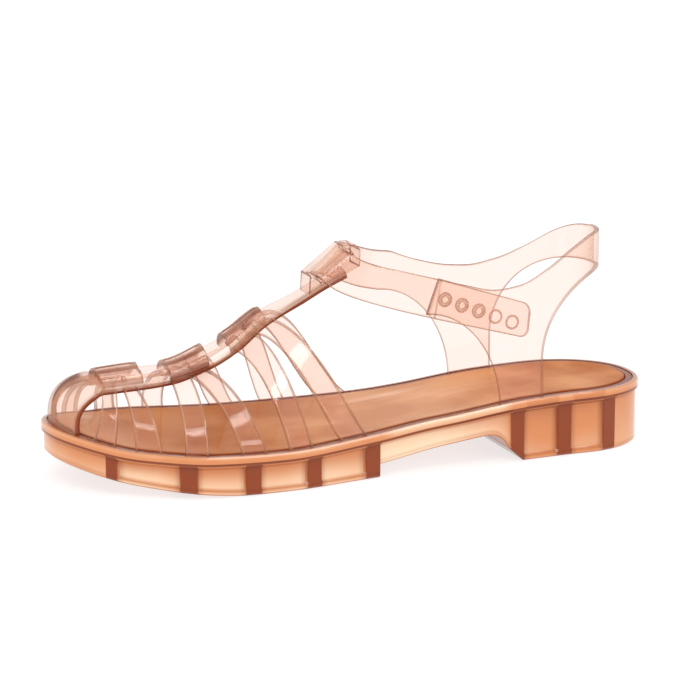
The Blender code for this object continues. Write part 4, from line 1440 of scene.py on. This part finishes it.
        near = np.linspace(0, 1 - self.tab_corner / length, self.tab_steps)
        turn = np.linspace(self.corner_start, 1, self.corner_steps) * math.pi / 2
        far = 1 - self.tab_corner / length * (1 - np.sin(turn))
        skin.slab(
            tab,
            np.concatenate((near, far)),
            self.wall,
            self.tab_depth,
            self.tab_soft,
            self.wall / 2,
            inside=(0.6, 0.0, 30 * MM),
            end_edge=(0.0, 0.9),
        )
        for index, middle in enumerate(self.hole_middles()):
            self.disc(skin, middle, self.hole_radius, self.hole_rings, self.hole_depth)
            if index < self.pegs:
                self.disc(skin, middle, self.peg_radius, self.peg_rings, self.peg_depth)
        return skin.build("ankle_strap_moulding", material)


# Finishes


@dataclass(frozen=True)
class PlasticLook:
    """Gloss of a plastic and of the thin coat on it."""

    roughness: float
    specular: float
    coat: float = 0.0
    coat_roughness: float = 0.03


@dataclass(frozen=True)
class Cloud:
    """Sizes of one soft noise over the object."""

    scale: float
    detail: float
    stretch: tuple[float, float, float] = (1, 1, 1)
    offset: float = 0.0


class Wire:
    """A shader value that takes part in Python expressions."""

    def __init__(self, graph: Graph, socket: Socket) -> None:
        """Wrap one output socket of a graph."""
        self.graph = graph
        self.socket = socket

    def __add__(self, other: Wire | float) -> Wire:
        """Sum."""
        return self.graph.math("ADD", self, other)

    def __radd__(self, other: float) -> Wire:
        """Sum with a number in front."""
        return self.graph.math("ADD", other, self)

    def __sub__(self, other: Wire | float) -> Wire:
        """Difference."""
        return self.graph.math("SUBTRACT", self, other)

    def __rsub__(self, other: float) -> Wire:
        """Difference from a number."""
        return self.graph.math("SUBTRACT", other, self)

    def __mul__(self, other: Wire | float) -> Wire:
        """Product."""
        return self.graph.math("MULTIPLY", self, other)

    def __rmul__(self, other: float) -> Wire:
        """Product with a number in front."""
        return self.graph.math("MULTIPLY", other, self)

    def __pow__(self, other: float) -> Wire:
        """Power."""
        return self.graph.math("POWER", self, other)

    def clamped(self) -> Wire:
        """The value between 0 and 1."""
        return self.graph.math("MINIMUM", self.graph.math("MAXIMUM", self, 0.0), 1.0)


class Graph:
    """Node tree of one material."""

    def __init__(self, name: str) -> None:
        """Start an empty material with its output node."""
        self.material = bpy.data.materials.new(name)
        self.material.use_nodes = True
        self.tree = self.material.node_tree
        self.tree.nodes.clear()

    def node(self, kind: str, settings: dict | None = None, sockets: dict | None = None) -> bpy.types.Node:
        """Add a node.

        Args:
            kind: the node's type.
            settings: properties, set before the sockets.
            sockets: value or wire of each input, by name or index.

        Returns:
            The node.
        """
        made = self.tree.nodes.new(kind)
        for key, value in (settings or {}).items():
            setattr(made, key, value)
        for key, value in (sockets or {}).items():
            if isinstance(value, Wire):
                self.tree.links.new(value.socket, made.inputs[key])
            elif isinstance(value, Socket):
                self.tree.links.new(value, made.inputs[key])
            else:
                made.inputs[key].default_value = value
        return made

    def math(self, operation: str, *values: Wire | float) -> Wire:
        """Add a Math node and return its value."""
        made = self.node("ShaderNodeMath", {"operation": operation}, dict(enumerate(values)))
        return Wire(self, made.outputs[0])

    def blend(self, share: Wire | float, first: Wire | tuple, second: Wire | tuple) -> Wire:
        """Mix two colours by a share."""
        made = self.node("ShaderNodeMix", {"data_type": "RGBA"}, {0: share, 6: first, 7: second})
        return Wire(self, made.outputs[2])

    def value(self, name: str) -> Wire:
        """Read a mesh value by its name."""
        made = self.node("ShaderNodeAttribute", {"attribute_name": name})
        return Wire(self, made.outputs["Fac"])

    def place(self, scale: tuple[float, float, float]) -> Wire:
        """Object coordinates, stretched."""
        where = self.node("ShaderNodeTexCoord").outputs["Object"]
        made = self.node("ShaderNodeVectorMath", {"operation": "MULTIPLY"}, {0: where, 1: scale})
        return Wire(self, made.outputs[0])

    def noise(self, cloud: Cloud) -> Wire:
        """Soft noise over the object."""
        where = self.place(cloud.stretch)
        sockets = {"Vector": where, "W": cloud.offset, "Scale": cloud.scale, "Detail": cloud.detail}
        made = self.node("ShaderNodeTexNoise", {"noise_dimensions": "4D"}, sockets)
        return Wire(self, made.outputs[0])

    def facing(self, sockets: dict | None = None) -> Wire:
        """How far the surface turns away from the view, for gloss and the look of thickness."""
        made = self.node("ShaderNodeLayerWeight", {}, {"Blend": 0.5, **(sockets or {})})
        return Wire(self, made.outputs["Facing"])

    def bump(self, strength: float, distance: float, cloud: Cloud) -> Socket:
        """Normal of a surface that swells gently by a noise."""
        sockets = {"Strength": strength, "Distance": distance, "Height": self.noise(cloud)}
        return self.node("ShaderNodeBump", {}, sockets).outputs[0]

    def mix(self, share: Wire, first: Socket, second: Socket) -> Socket:
        """Mix two shaders by a share."""
        return self.node("ShaderNodeMixShader", {}, {0: share, 1: first, 2: second}).outputs[0]

    def plastic(self, base: Wire, look: PlasticLook, normal: Socket) -> Socket:
        """Add a Principled shader.

        Args:
            base: its colour.
            look: its gloss.
            normal: of the swelling surface.

        Returns:
            The shader.
        """
        sockets = {
            "Base Color": base,
            "Roughness": look.roughness,
            "Specular IOR Level": look.specular,
            "Coat Weight": look.coat,
            "Coat Roughness": look.coat_roughness,
            "Normal": normal,
        }
        return self.node("ShaderNodeBsdfPrincipled", {}, sockets).outputs[0]

    def ramp(self, value: Wire, low: float, high: float) -> Wire:
        """Stretch a value so that low becomes 0 and high 1, smoothly and clamped."""
        sockets = {0: value, 1: low, 2: high, 3: 0.0, 4: 1.0}
        made = self.node("ShaderNodeMapRange", {"interpolation_type": "SMOOTHSTEP"}, sockets)
        return Wire(self, made.outputs[0])

    def finish(self, shader: Socket) -> bpy.types.Material:
        """Link the surface and return the material."""
        self.node("ShaderNodeOutputMaterial", {}, {0: shader})
        return self.material


def colour(code: str) -> tuple[float, float, float, float]:
    """Turn a screen colour of six hex digits into linear light."""
    parts = [int(code[i : i + 2], 16) / 255 for i in (0, 2, 4)]
    light = [c / 12.92 if c <= 0.04045 else ((c + 0.055) / 1.055) ** 2.4 for c in parts]
    return (*light, 1.0)


@dataclass(frozen=True)
class ClearPlastic:
    """Clear peach plastic: thin faces let the light through, edges and thick parts turn brown."""

    name: str
    tint: str = "FEF6F2"
    pale: str = "F6C39C"
    deep: str = "8A3F1C"
    roughness: float = 0.08
    depth_gain: float = 0.55
    edge_gain: float = 0.74
    rim_gain: float = 0.30
    rim_power: float = 5.0
    line_base: float = 0.55
    line_gain: float = 0.9
    lines: Cloud = Cloud(45, 1.0, offset=9.0)
    smudge: float = 0.12
    smudge_base: float = 0.6
    smudge_depth: float = 2.0
    smudges: Cloud = Cloud(55, 2.0)
    smudge_range: tuple = (0.52, 0.72)
    edge_dark: float = 0.8
    depth_dark: float = 0.55
    rim_dark: float = 0.5
    smudge_dark: float = 0.35
    gloss: float = 0.03
    gloss_rim: float = 0.10
    gloss_power: float = 4.0
    waves: Cloud = Cloud(38, 1.5, (1, 1, 1.6), 4.0)
    wave_strength: float = 0.35
    wave_height: float = 1.2 * MM
    look: PlasticLook = PlasticLook(0.3, 0.15)

    def make(self) -> bpy.types.Material:
        """Make the material.

        Returns:
            The material.
        """
        graph = Graph(self.name)
        edge = graph.value("edge") * (self.line_base + self.line_gain * graph.noise(self.lines))
        depth = graph.value("depth")
        clouds = graph.ramp(graph.noise(self.smudges), *self.smudge_range)
        grazing = graph.facing() ** self.rim_power
        body = self.depth_gain * depth + self.edge_gain * edge + self.rim_gain * grazing
        body = (body + self.smudge * clouds * (self.smudge_base + depth * self.smudge_depth)).clamped()
        dark = edge * self.edge_dark + depth * self.depth_dark + grazing * self.rim_dark
        dark = (dark + clouds * (self.smudge_dark + depth)).clamped()
        normal = graph.bump(self.wave_strength, self.wave_height, self.waves)
        solid = graph.plastic(graph.blend(dark, colour(self.pale), colour(self.deep)), self.look, normal)
        clear = graph.node("ShaderNodeBsdfTransparent", {}, {0: colour(self.tint)}).outputs[0]
        gleam = (self.gloss + self.gloss_rim * graph.facing({"Normal": normal}) ** self.gloss_power).clamped()
        gloss = graph.node("ShaderNodeBsdfGlossy", {}, {"Roughness": self.roughness, "Normal": normal})
        return graph.finish(graph.mix(gleam, graph.mix(body, clear, solid), gloss.outputs[0]))


@dataclass(frozen=True)
class SolePlastic:
    """Thick amber plastic of the sole: dark ribs, pale windows and a dark line under the lip, which is
    painted shade of its overhang.
    """

    name: str
    pale: str = "FFDDB9"
    middle: str = "DC8C58"
    deep: str = "8E3B08"
    # line colour: the dark line under the lip is painted shade, the other edge lines of the wall are their
    # own dark lines
    line: str = "70280C"
    line_gain: float = 0.9
    clouds: Cloud = Cloud(42, 2.0, (1, 1, 0.5))
    cloud_gain: float = 0.22
    pale_range: tuple = (0.05, 0.5)
    deep_range: tuple = (0.5, 0.95)
    grain: Cloud = Cloud(70, 1.0)
    grain_strength: float = 0.2
    grain_height: float = 0.6 * MM
    look: PlasticLook = PlasticLook(0.16, 0.35, 0.15, 0.05)

    def make(self) -> bpy.types.Material:
        """Make the material.

        Returns:
            The material.
        """
        graph = Graph(self.name)
        edge, depth = graph.value("edge"), graph.value("depth")
        share = (depth + (graph.noise(self.clouds) - 0.5) * self.cloud_gain).clamped()
        base = graph.blend(graph.ramp(share, *self.pale_range), colour(self.pale), colour(self.middle))
        base = graph.blend(graph.ramp(share, *self.deep_range), base, colour(self.deep))
        base = graph.blend((edge * self.line_gain).clamped(), base, colour(self.line))
        normal = graph.bump(self.grain_strength, self.grain_height, self.grain)
        return graph.finish(graph.plastic(base, self.look, normal))


@dataclass(frozen=True)
class FootbedPlastic:
    """Glossy clouded inlay with pale streaks in the waist of the foot."""

    name: str
    light: str = "DE9A68"
    dark: str = "BA6C38"
    streak: str = "F2C4A4"
    line: str = "8E3C18"
    front: str = "B06A34"
    line_gain: float = 0.9
    clouds: Cloud = Cloud(30, 2.5)
    cloud_range: tuple = (0.35, 0.68)
    streaks: Cloud = Cloud(60, 3.0, (0.25, 1.6, 1), 2.0)
    streak_range: tuple = (0.5, 0.75)
    streak_gain: float = 0.6
    waist_gain: float = 0.35
    waist_front: tuple = (-50 * MM, 0.0)
    waist_back: tuple = (75 * MM, 30 * MM)
    front_range: tuple = (10 * MM, -60 * MM)
    front_gain: float = 0.45
    toe_range: tuple = (-85 * MM, -112 * MM)
    toe_gain: float = 0.5
    grain: Cloud = Cloud(40, 2.0)
    grain_strength: float = 0.25
    grain_height: float = 0.8 * MM
    look: PlasticLook = PlasticLook(0.24, 0.0, 0.2, 0.08)

    def make(self) -> bpy.types.Material:
        """Make the material.

        Returns:
            The material.
        """
        graph = Graph(self.name)
        edge = graph.value("edge")
        clouds = graph.ramp(graph.noise(self.clouds), *self.cloud_range)
        base = graph.blend(clouds, colour(self.light), colour(self.dark))
        streaks = graph.ramp(graph.noise(self.streaks), *self.streak_range)
        where = graph.node("ShaderNodeSeparateXYZ", {}, {0: graph.place((1, 1, 1))})
        along = Wire(graph, where.outputs[0])
        waist = graph.ramp(along, *self.waist_front) * graph.ramp(along, *self.waist_back)
        pale = streaks * waist * self.streak_gain + waist * self.waist_gain
        base = graph.blend(pale, base, colour(self.streak))
        base = graph.blend(graph.ramp(along, *self.front_range) * self.front_gain, base, colour(self.front))
        base = graph.blend(graph.ramp(along, *self.toe_range) * self.toe_gain, base, colour(self.streak))
        base = graph.blend(edge * self.line_gain, base, colour(self.line))
        normal = graph.bump(self.grain_strength, self.grain_height, self.grain)
        return graph.finish(graph.plastic(base, self.look, normal))


# Scene

FLOOR_CORNERS = ((-1, -1), (1, -1), (1, 1), (-1, 1))


@dataclass
class Studio:
    """White floor, soft light and the camera at the photo's angle."""

    azimuth: float = -20.2
    elevation: float = 12.4
    distance: float = 1.2
    target: tuple[float, float, float] = (-3.5 * MM, 0.0, 48.7 * MM)
    lens: float = 155.2
    sensor: float = 36.0
    floor_reach: float = 12.0
    floor_drop: float = 0.2 * MM
    floor_grey: float = 0.35
    floor_glow: float = 0.74
    floor_roughness: float = 0.9
    see_through: int = 32
    lamps: tuple = (
        ("key", (-0.5, -0.5, 0.9), (0.26, 0.26), 1.3, True),
        ("side", (0.25, -0.9, 0.5), (0.2, 0.2), 0.7, True),
        ("top", (0.2, -0.34, 0.95), (1.1, 0.22), 5.5, False),
    )

    def back(self) -> Vector:
        """Direction from the shoe to the camera."""
        a, e = math.radians(self.azimuth), math.radians(self.elevation)
        return Vector((math.sin(a) * math.cos(e), -math.cos(a) * math.cos(e), math.sin(e)))

    def add_camera(self) -> None:
        """Add the camera."""
        data = bpy.data.cameras.new("camera")
        data.lens = self.lens
        data.sensor_width = self.sensor
        item = add_object("camera", data)
        item.location = Vector(self.target) + self.back() * self.distance
        item.rotation_euler = (-self.back()).to_track_quat("-Z", "Y").to_euler()
        bpy.context.scene.camera = item

    def add_light(self, name: str, place: tuple, size: tuple, power: float, fills: bool) -> None:
        """Add one soft lamp that looks at the shoe.

        Args:
            name: of the lamp.
            place: of its middle.
            size: of its face, sideways and up.
            power: in watts.
            fills: whether it lights dull faces too, or only gives highlights.
        """
        data = bpy.data.lights.new(name, "AREA")
        data.shape = "RECTANGLE"
        data.size = size[0]
        data.size_y = size[1]
        data.energy = power
        item = add_object(name, data)
        item.location = place
        item.visible_diffuse = fills
        aim = Vector(self.target) - Vector(place)
        item.rotation_euler = aim.to_track_quat("-Z", "Y").to_euler()

    def add_floor(self) -> None:
        """Add the white floor."""
        graph = Graph("floor")
        sockets = {
            "Base Color": (self.floor_grey, self.floor_grey, self.floor_grey, 1.0),
            "Roughness": self.floor_roughness,
            "Specular IOR Level": 0.0,
            "Emission Color": (1.0, 1.0, 1.0, 1.0),
            "Emission Strength": self.floor_glow,
        }
        shader = graph.node("ShaderNodeBsdfPrincipled", {}, sockets)
        mesh = bpy.data.meshes.new("floor")
        corners = [(x * self.floor_reach, y * self.floor_reach, 0) for x, y in FLOOR_CORNERS]
        mesh.from_pydata(corners, [], [(0, 1, 2, 3)])
        mesh.materials.append(graph.finish(shader.outputs[0]))
        item = add_object("floor", mesh)
        item.location = (0.0, 0.0, -self.floor_drop)

    def add_world(self) -> None:
        """Set the white surroundings and plain colours."""
        scene = bpy.context.scene
        world = bpy.data.worlds.new("white")
        world.use_nodes = True
        shade = world.node_tree.nodes["Background"]
        shade.inputs[0].default_value = (1.0, 1.0, 1.0, 1.0)
        shade.inputs[1].default_value = 1.0
        scene.world = world
        scene.view_settings.view_transform = "Standard"
        scene.cycles.transparent_max_bounces = self.see_through

    def build(self) -> None:
        """Set up the whole studio."""
        self.add_world()
        self.add_floor()
        self.add_camera()
        for lamp in self.lamps:
            self.add_light(*lamp)


def main() -> None:
    """Dress the frame."""
    logging.basicConfig(level=logging.INFO)
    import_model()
    last = Last()
    cage = Cage(last)
    keeper = Keeper(cage)
    clear = ClearPlastic("clear_peach")
    strap_look = ClearPlastic(
        "clear_strap", smudge=0.0, depth_gain=0.5, edge_gain=0.6, rim_gain=0.5, rim_power=2.6
    )
    pieces = (
        (Part.OUTSOLE, Slot.SOLE, Outsole(last).build(SolePlastic("amber").make())),
        (Part.INSOLE, Slot.FOOTBED, Footbed(last).build(FootbedPlastic("clouded").make())),
        (Part.UPPER, Slot.UPPER, Upper(last, cage).build(keeper, clear.make())),
        (Part.ANKLE_STRAP, Slot.UPPER, AnkleStrap(last, keeper).build(strap_look.make())),
    )
    for part, slot, piece in pieces:
        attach(piece, "root")
        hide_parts(part.value)
        LOG.info("%s: %d faces", piece.name, len(piece.data.polygons))
    Studio().build()


if __name__ == "__main__":
    main()
